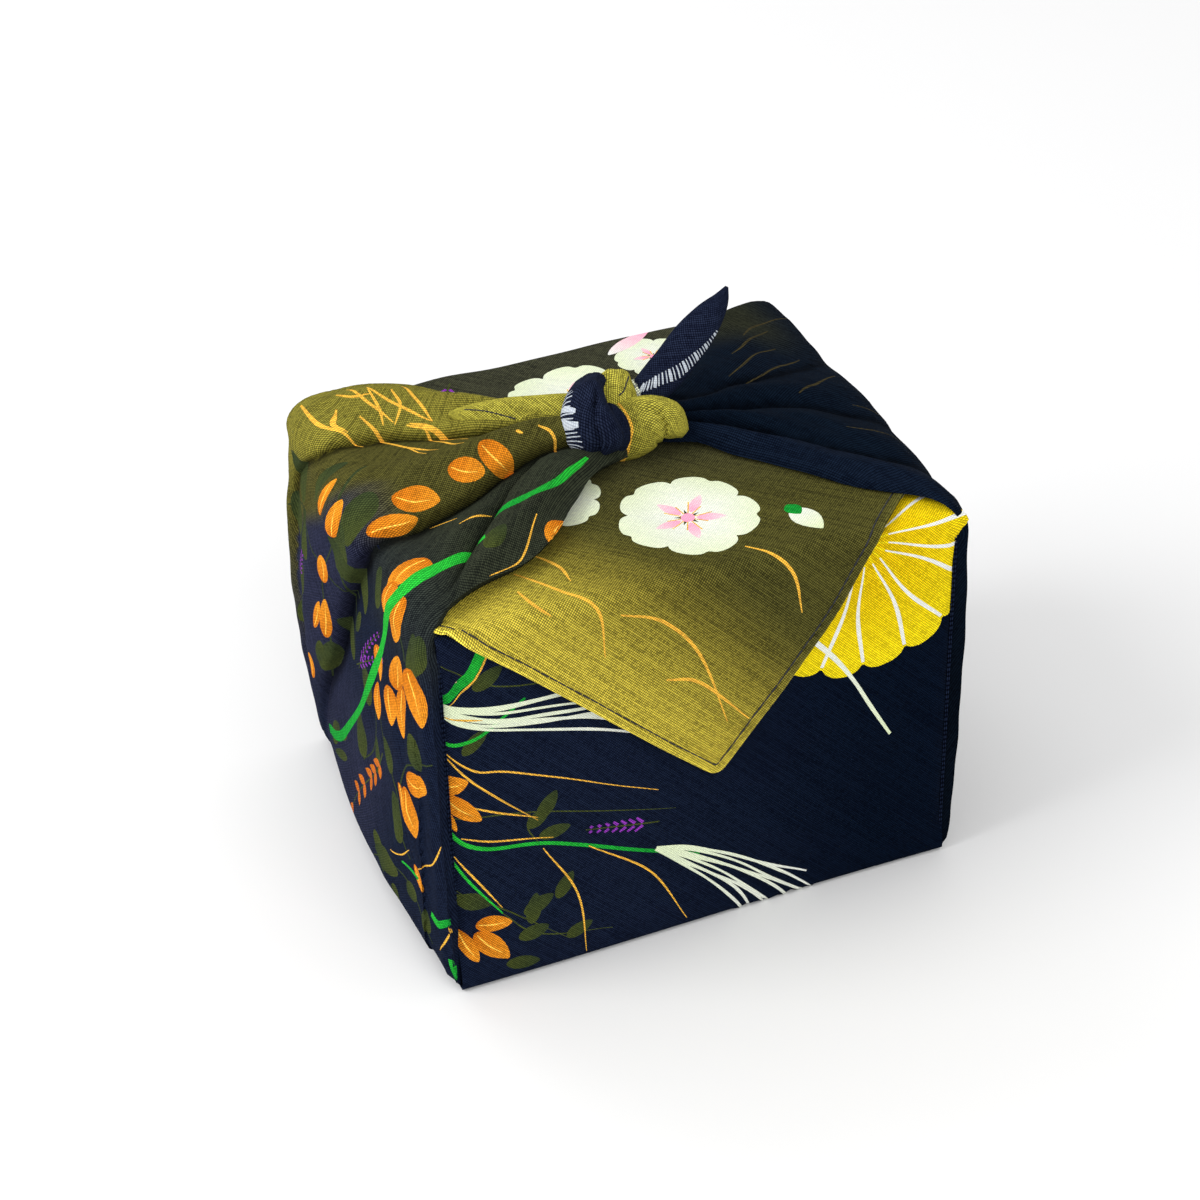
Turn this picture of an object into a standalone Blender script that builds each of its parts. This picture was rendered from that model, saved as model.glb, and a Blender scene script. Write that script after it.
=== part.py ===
"""Furoshiki wrap: one square cloth folded round a gift box and tied on top with a square knot.

Sizes are in millimetres and become metres where a mesh is made. X runs along the front from
left to right, Y to the back, Z up. The origin is the centre of the base, on the floor.

A side cloth is described over an unfolded side: "up" is the distance above the top edge of
the wall, measured over the cloth (negative on the wall, positive on the top, towards the
knot), "y" the place along the wall and "out" how far the cloth stands proud of the parcel.
"""

import math

import bmesh
import bpy
import numpy as np
from mathutils import Vector

MM = 0.001

# Driving sizes
PARCEL_W = 150.0
PARCEL_D = 125.0
PARCEL_H = 119.0
CLOTH_T = 1.2
LAYER_GAP = 0.4
BOX_GAP = 0.3
BOX_EDGE_R = 2.6
EDGE_R = 3.0
SIDE_EDGE_R = 6.0

HALF_W = PARCEL_W / 2
HALF_D = PARCEL_D / 2

# Top of each layer that lies on the box
NEAR_FLAP_TOP = PARCEL_H - 0.9
FAR_FLAP_TOP = NEAR_FLAP_TOP + LAYER_GAP + CLOTH_T

# The near flap ends this far behind the front wall, under the far flap
NEAR_FLAP_REACH = 88.0

# The corner of the cloth that hangs over the front. Its hems are given by their X at distances
# over the cloth past the front edge of the top, from the side tucks to the hanging tip.
TIP_X = 1.5
TIP_Z = 54.0
FLAP_DROP = 69.0
HEM_MEETS_TUCK = 17.0
RIGHT_HEM_AT = (-123.0, -114.0, -HEM_MEETS_TUCK, 3.0, FLAP_DROP)
RIGHT_HEM_X = (75.0, 72.0, 72.0, 52.0, TIP_X)
LEFT_HEM_AT = (-123.0, -114.0, -12.0, 0.0, 3.0, FLAP_DROP)
LEFT_HEM_X = (-75.0, -72.0, -72.0, -75.0, -75.5, TIP_X)

# Relief of the middle cloth: its upright edges are rounded, the front and back belly out a
# little, the hem that hangs over the front lifts, and a folded corner sticks out at the right
EDGE_ROUND = 4.0
EDGE_DROP = 2.2
EDGE_FADE = 14.0
FRONT_BELLY = 1.3
BACK_BELLY = 1.6
HEM_LIFT = 1.4
HEM_LIFT_WIDTH = 7.0
DOG_EAR = 2.6
DOG_EAR_DROP = 6.0

# Each material: colour, roughness, metallic
MATERIALS = {
    "furoshiki_cloth": ((0.035, 0.042, 0.075, 1.0), 0.9, 0.0),
    "gift_box": ((0.55, 0.42, 0.28, 1.0), 0.8, 0.0),
}
CREASE_ANGLE = math.radians(40)

# Fold lines of each side cloth, from the front wall to the back wall. Each row of LEVELS starts
# with its "up"; each pair after it is the (y, out) of one fold line there.
LEFT_FOLDS = (
    "front_groove", "front_shoulder", "roll_1", "valley_1", "roll_2_edge", "roll_2",
    "valley_2", "roll_3_edge", "roll_3", "back_shoulder", "back_groove",
)
LEFT_LEVELS = (
    (-118.3, (-60.8, -1.1), (-61.7, -.7), (-4, -.5), (54, -.8), (55.5, -.8), (57, -.8),
     (59, -.8), (60, -.8), (61, -.8), (61.7, -.7), (60.8, -1.1)),
    (-115.0, (-61, -1), (-63, 1.5), (-2, 5.5), (54, 1.8), (56, 2.0), (58, 2.0),
     (60, 1.8), (60.8, 2.0), (61.6, 2.0), (63, 1.2), (61, -1)),
    (-108.0, (-61, -1), (-63.5, 2.0), (-4, 7.8), (53, 2.6), (55.5, 3.2), (57.5, 3.2),
     (59.8, 2.8), (60.8, 3.0), (61.8, 3.0), (63, 1.6), (61, -1)),
    (-88.0, (-61, -1), (-63.5, 2.4), (-16, 7.8), (45, 2.8), (49, 4.8), (53, 5.2),
     (58.5, 4.4), (60, 4.8), (61.6, 4.6), (63, 2.4), (61, -1)),
    (-60.0, (-61, -1), (-63.5, 2.6), (-30, 7.2), (25, 2.6), (30, 6.4), (42, 7.4),
     (57.5, 5.4), (59.5, 6.2), (61.4, 6.0), (63, 3.0), (61, -1)),
    (-35.0, (-61, -1), (-63.5, 2.6), (-38, 6.6), (12, 2.0), (17, 6.2), (32, 7.6),
     (56, 4.4), (58.5, 5.8), (61, 5.8), (63, 3.0), (61, -1)),
    (-20.0, (-61, -1), (-63.5, 2.4), (-42, 6.0), (1, 1.4), (6, 5.8), (24, 7.6),
     (53, 3.4), (55.5, 5.0), (59.5, 5.2), (63, 3.0), (61, -1)),
    (-8.0, (-61.5, -.8), (-63, 2.2), (-43, 5.6), (-9, 1.4), (-4, 5.6), (15, 7.4),
     (42, 2.8), (44.5, 4.8), (54, 5.2), (62, 2.8), (61.5, -.6)),
    (0.0, (-62, .8), (-61.5, 3.0), (-42, 5.8), (-14, 1.8), (-9.5, 6.0), (10, 7.6),
     (34, 3.0), (36.5, 5.2), (48, 6.0), (59.8, 3.6), (62.3, .8)),
    (8.0, (-57, 2.3), (-55.6, 4.0), (-38, 6.8), (-18, 3.0), (-14, 7.2), (4, 9.0),
     (31, 4.2), (33, 6.4), (45, 7.4), (55.5, 4.8), (59.5, 2.3)),
    (18.0, (-51.8, 2.3), (-50.4, 4.4), (-33, 7.4), (-14, 3.4), (-10.5, 7.8), (5, 9.6),
     (29, 4.8), (31, 7.2), (42, 7.8), (50, 5.0), (52.4, 2.3)),
    (30.0, (-47.4, 2.3), (-46, 4.6), (-29, 7.8), (-9, 4.0), (-6, 8.6), (6, 10.4),
     (22, 6.0), (24, 8.2), (33, 8.8), (41.5, 6.0), (43.6, 2.4)),
    (42.0, (-37, 2.3), (-35.6, 4.8), (-20, 8.8), (-2, 4.8), (.5, 9.4), (8, 11.4),
     (17, 7.8), (18.5, 9.6), (25, 10.0), (30.8, 6.0), (32.6, 2.4)),
    (54.0, (-23, 2.6), (-21.4, 5.0), (-12, 8.8), (1.5, 6.0), (3.5, 10.2), (8.5, 12.2),
     (13.5, 9.0), (15, 10.4), (19, 10.6), (22, 7.0), (23.6, 3)),
    (65.0, (-9, 4.0), (-7.8, 5.5), (-4, 9.2), (2, 7.6), (3.4, 10.6), (6, 12.2),
     (9, 10.2), (10.2, 10.8), (13, 11.0), (14.6, 8.0), (16, 5)),
    (76.0, (-4, 5.0), (-2.8, 6.0), (-1, 9.5), (2, 9.0), (3, 10.4), (4, 11.0),
     (6, 10.4), (7, 10.8), (8, 11.0), (9, 9.0), (10, 7)),
)

RIGHT_FOLDS = (
    "front_groove", "front_shoulder", "pleat_1", "valley_1", "pleat_2", "valley_2", "pleat_3",
    "valley_3", "flat", "back_shoulder", "back_groove",
)
RIGHT_LEVELS = (
    (-118.3, (-60.8, -1.1), (-61.7, -.7), (-50, -.6), (-5, -.6), (20, -.6), (40, -.7),
     (51, -.8), (57, -.8), (59, -.8), (61.7, -.7), (60.8, -1.1)),
    (-115.0, (-61, -1), (-62, 1.6), (-50, 3.2), (-5, 2.4), (20, 3.2), (40, 2.2),
     (51, 2.4), (57, 1.8), (60, 1.8), (63, 1.2), (61, -1)),
    (-108.0, (-61, -1), (-62, 2.4), (-50, 4.6), (-7, 3.2), (17, 4.6), (37, 3.2),
     (49, 3.8), (57, 2.4), (60, 2.6), (63, 1.6), (61, -1)),
    (-88.0, (-61, -1), (-62, 3.0), (-51, 5.4), (-14, 3.4), (8, 5.6), (28, 3.6),
     (44, 5.0), (56, 2.8), (60, 3.2), (63, 2.2), (61, -1)),
    (-60.0, (-61, -1), (-62, 3.4), (-51, 6.0), (-24, 3.6), (-6, 5.8), (13, 3.6),
     (32, 5.4), (52, 3.0), (59, 4.0), (63, 3.0), (61, -1)),
    (-30.0, (-61, -1), (-62, 3.4), (-52, 5.6), (-34, 3.4), (-18, 5.2), (0, 3.2),
     (22, 4.8), (52, 2.6), (59, 3.6), (63, 2.6), (61, -1)),
    (-10.0, (-61.5, -1), (-62.4, 2.4), (-54, 4.2), (-43, 2.6), (-30, 4.0), (-8, 2.6),
     (18, 3.8), (55, 1.8), (60, 2.4), (62.6, 1.8), (61.6, -.8)),
    (0.0, (-62, .6), (-60.8, 2.2), (-55, 3.4), (-46, 2.2), (-34, 3.8), (-12, 2.4),
     (17, 3.4), (55, 1.9), (59, 2.2), (61, 2.2), (62.5, .8)),
    (8.0, (-54, 2.3), (-52.6, 3.6), (-48, 5.0), (-38, 3.3), (-22, 5.6), (-4, 3.6),
     (18, 5.0), (50, 2.6), (56, 2.9), (60.4, 2.9), (62.2, 2.3)),
    (20.0, (-44, 2.3), (-42.6, 3.8), (-37, 5.6), (-25, 3.6), (-4, 6.8), (6, 4.0),
     (20, 6.2), (39.5, 3.0), (50, 3.5), (57.6, 3.1), (59.6, 2.3)),
    (34.0, (-27.4, 2.3), (-26, 4), (-20, 6.2), (-6, 4.2), (8.5, 8.0), (14, 5.0),
     (22, 7.4), (30, 4.0), (38, 4.0), (44, 3.4), (46, 2.3)),
    (44.0, (-15.6, 2.3), (-14, 4), (-9, 7.0), (3, 5.2), (10, 9.0), (14, 6.2),
     (19.5, 8.2), (25, 5.0), (29, 4.6), (32, 4), (33.8, 2.4)),
    (54.0, (-4.4, 2.8), (-3, 5), (1, 8.0), (7, 6.6), (10.5, 9.6), (13.5, 7.6),
     (17, 8.8), (20, 6.6), (22, 6), (23.6, 5), (25, 3)),
    (66.0, (-1, 4.5), (.3, 6), (2, 9.0), (5, 8.0), (7.5, 10), (9, 8.8),
     (10.5, 9.4), (12, 8.4), (13, 8), (14, 7), (15, 5)),
)

# Columns of mesh from each fold line to the next, and distance between levels of mesh
LEFT_COLUMNS = (1, 3, 4, 1, 2, 3, 1, 2, 2, 1)
RIGHT_COLUMNS = (1, 2, 3, 3, 3, 3, 3, 2, 2, 1)
CREASES = ("valley", "front_groove", "back_groove")
CREASE_POWER = 1.15
WALL_STEP = 9.0
TOP_STEP = 7.0
EDGE_STEPS = 4
BAND_STEP = 17.0
BAND_PLACES = (0, .008, .024, .1, .22, .36, .5, .64, .78, .9, .976, .992, 1)

# Strands of the knot: name, the way the width points, and a row for each section with its
# centre x, y, z, half width and half thickness
KNOT_STRANDS = (
    ("legs", (0, 1, 0), (
        (-18, 3, 124.5, 6, 3.5), (-8, 4, 127.5, 8, 5.5), (3, 3.5, 128, 8.5, 5.5), (16, 5, 125.5, 6.5, 4),
    )),
    ("dark_loop", (1, 0, 0), (
        (3, 13, 126, 6, 4), (0, 13.5, 131, 7, 4.5), (-4, 9, 135, 8, 5), (-8, 1, 135.5, 8.5, 5.5),
        (-11, -6, 132.5, 8.5, 5.5), (-11, -9, 127.5, 8, 5), (-8, -8, 123.5, 6, 3),
    )),
    ("dark_return", (1, 0, 0), (
        (1, 7, 127, 5, 4), (0.5, 1, 130, 5.5, 4.5), (-1, -4.5, 129, 5.5, 4.5),
        (-3.5, -6.5, 125, 5.5, 4), (-5, -6, 122.5, 5, 3),
    )),
    ("light_loop", (1, 0, 0), (
        (12, 12, 126, 6, 4), (10.5, 8, 129.5, 8, 4.5), (8.5, 1, 131, 9.5, 5), (7, -5.5, 129, 9.8, 5),
        (5.5, -9, 125.5, 9, 4), (4, -8, 122.6, 7, 2.5),
    )),
    ("light_band", (1, 0, 0), (
        (9, 3, 130, 6, 3.5), (7.5, 8, 132.5, 7.5, 4.5), (6.5, 13, 131.5, 8.5, 4.5),
        (5.5, 16, 127.5, 8, 4), (4, 15.5, 123.5, 6, 3),
    )),
    ("light_tip", (0, 1, 0), (
        (-6, 12, 130, 5, 3.2), (-14, 15, 130, 5.4, 2.4), (-24, 19, 129.4, 5, 1.8),
        (-31, 21.5, 129, 4, 1.5), (-37, 24, 129, 2.4, 1.2), (-40.5, 25.6, 129.2, .8, .8),
    )),
    ("dark_tip", (.6, -.6, -.5), (
        (9, 8, 126, 3.5, 2.4), (15, 9, 131, 4.5, 2.0), (21, 10.5, 137, 5.6, 1.6),
        (28, 12, 143.5, 5.4, 1.4), (34, 13, 149, 4.0, 1.2), (38, 13.8, 153, 2.2, 1.0),
        (40.5, 14.2, 155.6, .8, .7),
    )),
)
LOOP_SIDES = 12
LOOP_STEPS = 2


def smooth(keys, values, at):
    """Values read at new places along a monotone cubic through the keys."""
    keys = np.asarray(keys, float)
    values = np.asarray(values, float)
    at = np.clip(np.asarray(at, float), keys[0], keys[-1])
    step = np.diff(keys)
    rise = np.diff(values, axis=0) / step.reshape(-1, *([1] * (values.ndim - 1)))
    slope = np.zeros_like(values)
    same_way = rise[:-1] * rise[1:] > 0
    mean = 2 * rise[:-1] * rise[1:] / np.where(same_way, rise[:-1] + rise[1:], 1)
    slope[1:-1] = np.where(same_way, mean, 0)
    slope[0] = rise[0]
    slope[-1] = rise[-1]
    i = np.clip(np.searchsorted(keys, at, side="right") - 1, 0, len(step) - 1)
    shape = (-1, *([1] * (values.ndim - 1)))
    u = ((at - keys[i]) / step[i]).reshape(shape)
    h = step[i].reshape(shape)
    return (
        (2 * u**3 - 3 * u**2 + 1) * values[i]
        + (u**3 - 2 * u**2 + u) * h * slope[i]
        + (3 * u**2 - 2 * u**3) * values[i + 1]
        + (u**3 - u**2) * h * slope[i + 1]
    )


def side_base(up):
    """Distance from the middle plane, height and outward direction of a side at each "up"."""
    up = np.asarray(up, float)
    turn = np.clip((up + SIDE_EDGE_R) / (2 * SIDE_EDGE_R), 0, 1) * math.pi / 2
    across = HALF_W - SIDE_EDGE_R + SIDE_EDGE_R * np.cos(turn) - np.maximum(up - SIDE_EDGE_R, 0)
    height = PARCEL_H - SIDE_EDGE_R + SIDE_EDGE_R * np.sin(turn) + np.minimum(up + SIDE_EDGE_R, 0)
    return across, height, np.cos(turn), np.sin(turn)


def fold_blend(first, last, place):
    """Share of the way in height from one fold line to the next: steep beside a crease and
    level on a ridge."""
    if first.startswith(CREASES) and not last.startswith(CREASES):
        return math.sin(math.pi / 2 * place) ** CREASE_POWER
    if last.startswith(CREASES) and not first.startswith(CREASES):
        return 1 - math.sin(math.pi / 2 * (1 - place)) ** CREASE_POWER
    return (1 - math.cos(math.pi * place)) / 2


def side_surface(levels, names, columns, ups, side):
    """Grid of points of a side cloth, one row for each level; side is -1 left, 1 right."""
    keys = [row[0] for row in levels]
    folds = smooth(keys, [row[1:] for row in levels], ups)
    across, height, out_x, out_z = side_base(ups)
    lines = []
    for fold, count in enumerate(columns):
        last_fold = fold == len(columns) - 1
        for step in range(count + last_fold):
            place = step / count
            change = folds[:, fold + 1] - folds[:, fold]
            y = folds[:, fold, 0] + change[:, 0] * place
            blend = fold_blend(names[fold], names[fold + 1], place)
            out = folds[:, fold, 1] + change[:, 1] * blend
            lines.append(np.stack([side * (across + out * out_x), y, height + out * out_z], axis=1))
    return np.array(lines).transpose(1, 0, 2)


def side_ups(last):
    wall = np.linspace(-SIDE_EDGE_R, -PARCEL_H + 4.0, int((PARCEL_H - 10) / WALL_STEP) + 1)[::-1]
    edge = np.linspace(-SIDE_EDGE_R, SIDE_EDGE_R, EDGE_STEPS + 1)[1:-1]
    top = np.linspace(SIDE_EDGE_R, last, int((last - SIDE_EDGE_R) / TOP_STEP) + 1)
    return np.concatenate([[-118.3, -117.0], wall, edge, top])


def arc(centre_y, centre_z, radius, start, end, steps):
    angles = np.radians(np.linspace(start, end, steps + 1))
    return [(centre_y + radius * math.cos(a), centre_z + radius * math.sin(a)) for a in angles]


def straight(first, last, steps):
    return [tuple(np.array(first) + (np.array(last) - first) * i / steps) for i in range(1, steps)]


def band_profile():
    """The middle of the cloth from the inner end of the near flap, down the front, under the
    box, up the back, over the top and down the front to the hanging corner."""
    r = EDGE_R
    near = arc(-HALF_D + r, NEAR_FLAP_TOP - r, r, 90, 180, 4)
    front_foot = arc(-HALF_D + r, r, r, 180, 270, 3)
    back_foot = arc(HALF_D - r, r, r, 270, 360, 3)
    far = arc(HALF_D - r, FAR_FLAP_TOP - r, r, 0, 90, 4)
    over = arc(-HALF_D + r, NEAR_FLAP_TOP - r, r + LAYER_GAP + CLOTH_T, 90, 180, 4)
    hem_corner = (-HALF_D + r + HEM_MEETS_TUCK, FAR_FLAP_TOP)
    flap_start = (-HALF_D + NEAR_FLAP_REACH, NEAR_FLAP_TOP)
    tip = (-HALF_D - LAYER_GAP - CLOTH_T - 0.6, TIP_Z)
    path = [flap_start]
    for piece in (near, front_foot, back_foot, far, [hem_corner], over):
        path += straight(path[-1], piece[0], max(1, round(math.dist(path[-1], piece[0]) / BAND_STEP)))
        path += piece
    path += straight(path[-1], tip, 6)
    path.append(tip)
    return path


def flap_limits(from_front_edge):
    """Left and right hems of the far flap, by the distance over the cloth past the front edge
    of the top (negative on the top, positive where the corner hangs)."""
    right = float(np.interp(from_front_edge, RIGHT_HEM_AT, RIGHT_HEM_X))
    left = float(np.interp(from_front_edge, LEFT_HEM_AT, LEFT_HEM_X))
    return left, max(right, left + 1.0)


def wall_limits(y, z):
    """Left and right ends of the cloth on the walls, with the folded corner at the right."""
    near_edge = y < -HALF_D + EDGE_R / 2
    ear = DOG_EAR * max(0.0, 1 - abs(NEAR_FLAP_TOP - EDGE_R - z) / DOG_EAR_DROP) if near_edge else 0.0
    return -HALF_W, HALF_W + ear


def wall_relief(x, y, z):
    """How far a point of a wall moves out of its flat plane."""
    from_edge = max(0.0, abs(x) - (HALF_W - EDGE_ROUND))
    drop = EDGE_ROUND - math.sqrt(max(0.0, EDGE_ROUND**2 - from_edge**2))
    fade = min(1.0, max(0.0, min(z - EDGE_R, FAR_FLAP_TOP - EDGE_R - z) / EDGE_FADE))
    belly = FRONT_BELLY if y < 0 else BACK_BELLY
    swell = math.cos(math.pi * x / PARCEL_W) * math.sin(math.pi * z / PARCEL_H)
    return belly * max(0.0, swell) - fade * min(EDGE_DROP, drop)


def band_point(x, y, z, left, on_flap, hangs):
    if on_flap and hangs:
        over_wall = wall_relief(0.6 * x, y, z)
        return x, y - max(0.0, over_wall) - HEM_LIFT * max(0.0, 1 - (x - left) / HEM_LIFT_WIDTH), z
    on_wall = abs(y) > HALF_D - 0.01
    if on_wall and not on_flap:
        return x, y + math.copysign(1.0, y) * wall_relief(x, y, z), z
    return x, y, z


def band_surface():
    path = band_profile()
    travel = np.concatenate([[0], np.cumsum([math.dist(a, b) for a, b in zip(path, path[1:])])])
    flap_start = max(i for i, (y, z) in enumerate(path) if y > HALF_D - 0.01)
    front_edge = max(i for i, (y, z) in enumerate(path) if z > FAR_FLAP_TOP - 0.01)
    rows = []
    for i, (y, z) in enumerate(path):
        on_flap = i > flap_start
        limits = flap_limits(travel[i] - travel[front_edge]) if on_flap else wall_limits(y, z)
        left, right = limits
        across = [left + (right - left) * place for place in BAND_PLACES]
        rows.append([band_point(x, y, z, left, on_flap, y < -HALF_D) for x in across])
    return np.array(rows)


def mesh_object(name, points, faces, collection):
    mesh = bpy.data.meshes.new(name)
    mesh.from_pydata([Vector(p) * MM for p in points], [], faces)
    mesh.update()
    piece = bpy.data.objects.new(name, mesh)
    collection.objects.link(piece)
    return piece


def cloth_sheet(name, grid, collection, flip):
    """A sheet of the cloth's thickness under a grid of points of its outer face."""
    rows, columns = grid.shape[:2]
    faces = []
    for r in range(rows - 1):
        for c in range(columns - 1):
            a = r * columns + c
            face = (a, a + 1, a + columns + 1, a + columns)
            faces.append(face[::-1] if flip else face)
    piece = mesh_object(name, grid.reshape(-1, 3), faces, collection)
    thick = piece.modifiers.new("Thickness", "SOLIDIFY")
    thick.thickness = CLOTH_T * MM
    thick.offset = -1.0
    return piece


def strand(name, across, rows, collection):
    """A bunched strand of cloth: ellipses along a smooth path, closed at both ends."""
    rows = np.array(rows, float)
    keys = np.arange(len(rows))
    dense = smooth(keys, rows, np.linspace(0, len(rows) - 1, (len(rows) - 1) * LOOP_STEPS + 1))
    centres = dense[:, :3]
    points = []
    side = Vector(across)
    for i, row in enumerate(dense):
        ahead = Vector(centres[min(i + 1, len(dense) - 1)] - centres[max(i - 1, 0)]).normalized()
        side = (side - ahead * side.dot(ahead)).normalized()
        up = ahead.cross(side)
        for k in range(LOOP_SIDES):
            turn = 2 * math.pi * k / LOOP_SIDES
            reach = side * (math.cos(turn) * row[3]) + up * (math.sin(turn) * row[4])
            points.append(Vector(row[:3]) + reach)
    faces = []
    for i in range(len(dense) - 1):
        for k in range(LOOP_SIDES):
            a = i * LOOP_SIDES + k
            b = i * LOOP_SIDES + (k + 1) % LOOP_SIDES
            faces.append((a, b, b + LOOP_SIDES, a + LOOP_SIDES))
    faces.append(tuple(range(LOOP_SIDES))[::-1])
    faces.append(tuple(range(len(points) - LOOP_SIDES, len(points))))
    return mesh_object(name, points, faces, collection)


def finish(piece):
    """Give a part its own material and smooth faces."""
    colour, roughness, metallic = MATERIALS[piece.name]
    material = bpy.data.materials.new(piece.name)
    material.use_nodes = True
    shader = material.node_tree.nodes["Principled BSDF"]
    shader.inputs["Base Color"].default_value = colour
    shader.inputs["Roughness"].default_value = roughness
    shader.inputs["Metallic"].default_value = metallic
    piece.data.materials.append(material)
    piece.data.shade_smooth()
    piece.data.set_sharp_from_angle(angle=CREASE_ANGLE)


def clear_scene():
    for old in list(bpy.data.objects):
        bpy.data.objects.remove(old, do_unlink=True)


def gift_box(collection):
    wall = CLOTH_T + BOX_GAP
    size = (PARCEL_W - 2 * wall, PARCEL_D - 2 * wall, NEAR_FLAP_TOP - 2 * wall)
    mesh = bpy.data.meshes.new("gift_box")
    shape = bmesh.new()
    bmesh.ops.create_cube(shape, size=1.0)
    bmesh.ops.scale(shape, vec=Vector(size) * MM, verts=shape.verts)
    shape.to_mesh(mesh)
    shape.free()
    box = bpy.data.objects.new("gift_box", mesh)
    box.location.z = NEAR_FLAP_TOP / 2 * MM
    collection.objects.link(box)
    bevel = box.modifiers.new("Edges", "BEVEL")
    bevel.width = BOX_EDGE_R * MM
    bevel.segments = 3
    return box


def main():
    clear_scene()
    scene = bpy.context.scene.collection
    parts = bpy.data.collections.new("furoshiki_wrap")
    joined = bpy.data.collections.new("joined_cloth")
    scene.children.link(parts)
    scene.children.link(joined)
    box = gift_box(parts)
    cloth = cloth_sheet("furoshiki_cloth", band_surface(), parts, True)
    left = side_surface(LEFT_LEVELS, LEFT_FOLDS, LEFT_COLUMNS, side_ups(74.0), -1)
    right = side_surface(RIGHT_LEVELS, RIGHT_FOLDS, RIGHT_COLUMNS, side_ups(64.0), 1)
    cloth_sheet("left_side", left, joined, True)
    cloth_sheet("right_side", right, joined, False)
    for name, across, rows in KNOT_STRANDS:
        strand(name, across, rows, joined)
    for piece in joined.objects:
        piece.hide_render = True
        piece.display_type = "WIRE"
    union = cloth.modifiers.new("One cloth", "BOOLEAN")
    union.operation = "UNION"
    union.operand_type = "COLLECTION"
    union.collection = joined
    union.solver = "EXACT"
    for part in (box, cloth):
        finish(part)


main()
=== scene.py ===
"""Looks of the furoshiki wrap: a square of printed slub cotton folded round a gift box and tied on
top with a square knot. Sizes are in millimetres until a mesh is made; X runs along the front, Y to
the back, Z up, as in the frame."""

import math

import bmesh
import bpy
import numpy as np
from mathutils import Matrix, Vector
from mathutils.geometry import delaunay_2d_cdt
from mathutils.kdtree import KDTree


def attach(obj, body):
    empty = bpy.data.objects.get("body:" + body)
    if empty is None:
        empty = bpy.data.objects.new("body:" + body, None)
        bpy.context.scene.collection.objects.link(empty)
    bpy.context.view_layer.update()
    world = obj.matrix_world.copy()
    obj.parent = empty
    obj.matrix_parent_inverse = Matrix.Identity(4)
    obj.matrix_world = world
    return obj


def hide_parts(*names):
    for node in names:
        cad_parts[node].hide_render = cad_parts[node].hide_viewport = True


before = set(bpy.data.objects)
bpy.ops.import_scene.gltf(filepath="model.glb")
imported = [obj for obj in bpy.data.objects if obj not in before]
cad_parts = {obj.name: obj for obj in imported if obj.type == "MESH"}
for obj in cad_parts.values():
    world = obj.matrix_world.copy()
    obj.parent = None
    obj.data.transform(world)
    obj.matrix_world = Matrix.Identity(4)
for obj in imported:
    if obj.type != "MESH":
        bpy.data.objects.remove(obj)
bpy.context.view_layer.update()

MM = 0.001

# The parcel, as in the frame: the box, its rounded edges, the two flaps of cloth over it and the
# tip of the corner that hangs over the front
PARCEL_W = 150.0
PARCEL_D = 125.0
PARCEL_H = 119.0
HALF_W = PARCEL_W / 2
HALF_D = PARCEL_D / 2
EDGE_R = 3.0
SIDE_EDGE_R = 6.0
LAYER_GAP = 0.4
FRAME_CLOTH_T = 1.2
NEAR_FLAP_TOP = 118.1
FAR_FLAP_TOP = NEAR_FLAP_TOP + LAYER_GAP + FRAME_CLOTH_T
NEAR_FLAP_REACH = 88.0
TIP_X = 1.5
TIP_Z = 54.0

# The cloth itself: the whole square, its thickness and the width of its hem
CLOTH_T = 0.55
HEM_W = 2.9

# Camera fitted to the parcel's corners in the photograph
CAMERA_AZIMUTH = -20.67
CAMERA_ELEVATION = 34.78
CAMERA_ROLL = -1.71
CAMERA_DISTANCE = 0.861
CAMERA_ASIDE = -0.0078
CAMERA_RAISED = 0.0579
LENS_MM = 85.2
SENSOR_MM = 36.0


def srgb(red, green, blue):
    """Linear colour of an 8-bit screen colour."""
    channels = np.array([red, green, blue], float) / 255
    return np.where(channels <= 0.04045, channels / 12.92, ((channels + 0.055) / 1.055) ** 2.4)


NAVY = srgb(15, 22, 43)
# Navy with painted shade, for cloth on the side away from the light
NAVY_DEEP = srgb(4, 11, 28)
NAVY_SOFT = srgb(30, 34, 55)
INDIGO = srgb(30, 33, 57)
OLIVE_DARK = srgb(64, 62, 31)
OLIVE_BROWN = srgb(49, 50, 42)
OLIVE = srgb(104, 99, 42)
OLIVE_GOLD = srgb(138, 132, 56)
OLIVE_LIGHT = srgb(164, 149, 58)
LEAF_OLIVE = srgb(58, 66, 32)
LEAF_OLIVE_DIM = srgb(44, 54, 34)
ORANGE = srgb(178, 98, 20)
ORANGE_LIGHT = srgb(208, 132, 36)
ORANGE_DIM = srgb(176, 92, 40)
ORANGE_VEIN = srgb(240, 182, 76)
GREEN = srgb(36, 164, 52)
GREEN_DEEP = srgb(20, 130, 48)
GOLD_LINE = srgb(214, 162, 62)
PURPLE = srgb(120, 48, 160)
CREAM = srgb(214, 226, 190)
WHITE = srgb(222, 224, 222)
PALE_GREEN = srgb(210, 222, 180)
PINK = srgb(248, 158, 190)
YELLOW = srgb(214, 194, 22)
YELLOW_DEEP = srgb(200, 168, 12)
STRIPE_WHITE = srgb(186, 194, 208)
WEFT_GREY = srgb(178, 182, 176)
BROWN_DIM = srgb(50, 45, 30)
OLIVE_GREY = srgb(38, 42, 36)
OLIVE_SHADE = srgb(32, 34, 28)
# Navy of the right side: NIGHT_DEEP carries painted shade, NIGHT_SOFT painted light
NIGHT = srgb(6, 14, 28)
NIGHT_DEEP = srgb(4, 9, 20)
NIGHT_SOFT = srgb(10, 18, 35)


# ---------------------------------------------------------------- curves and tables


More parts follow.
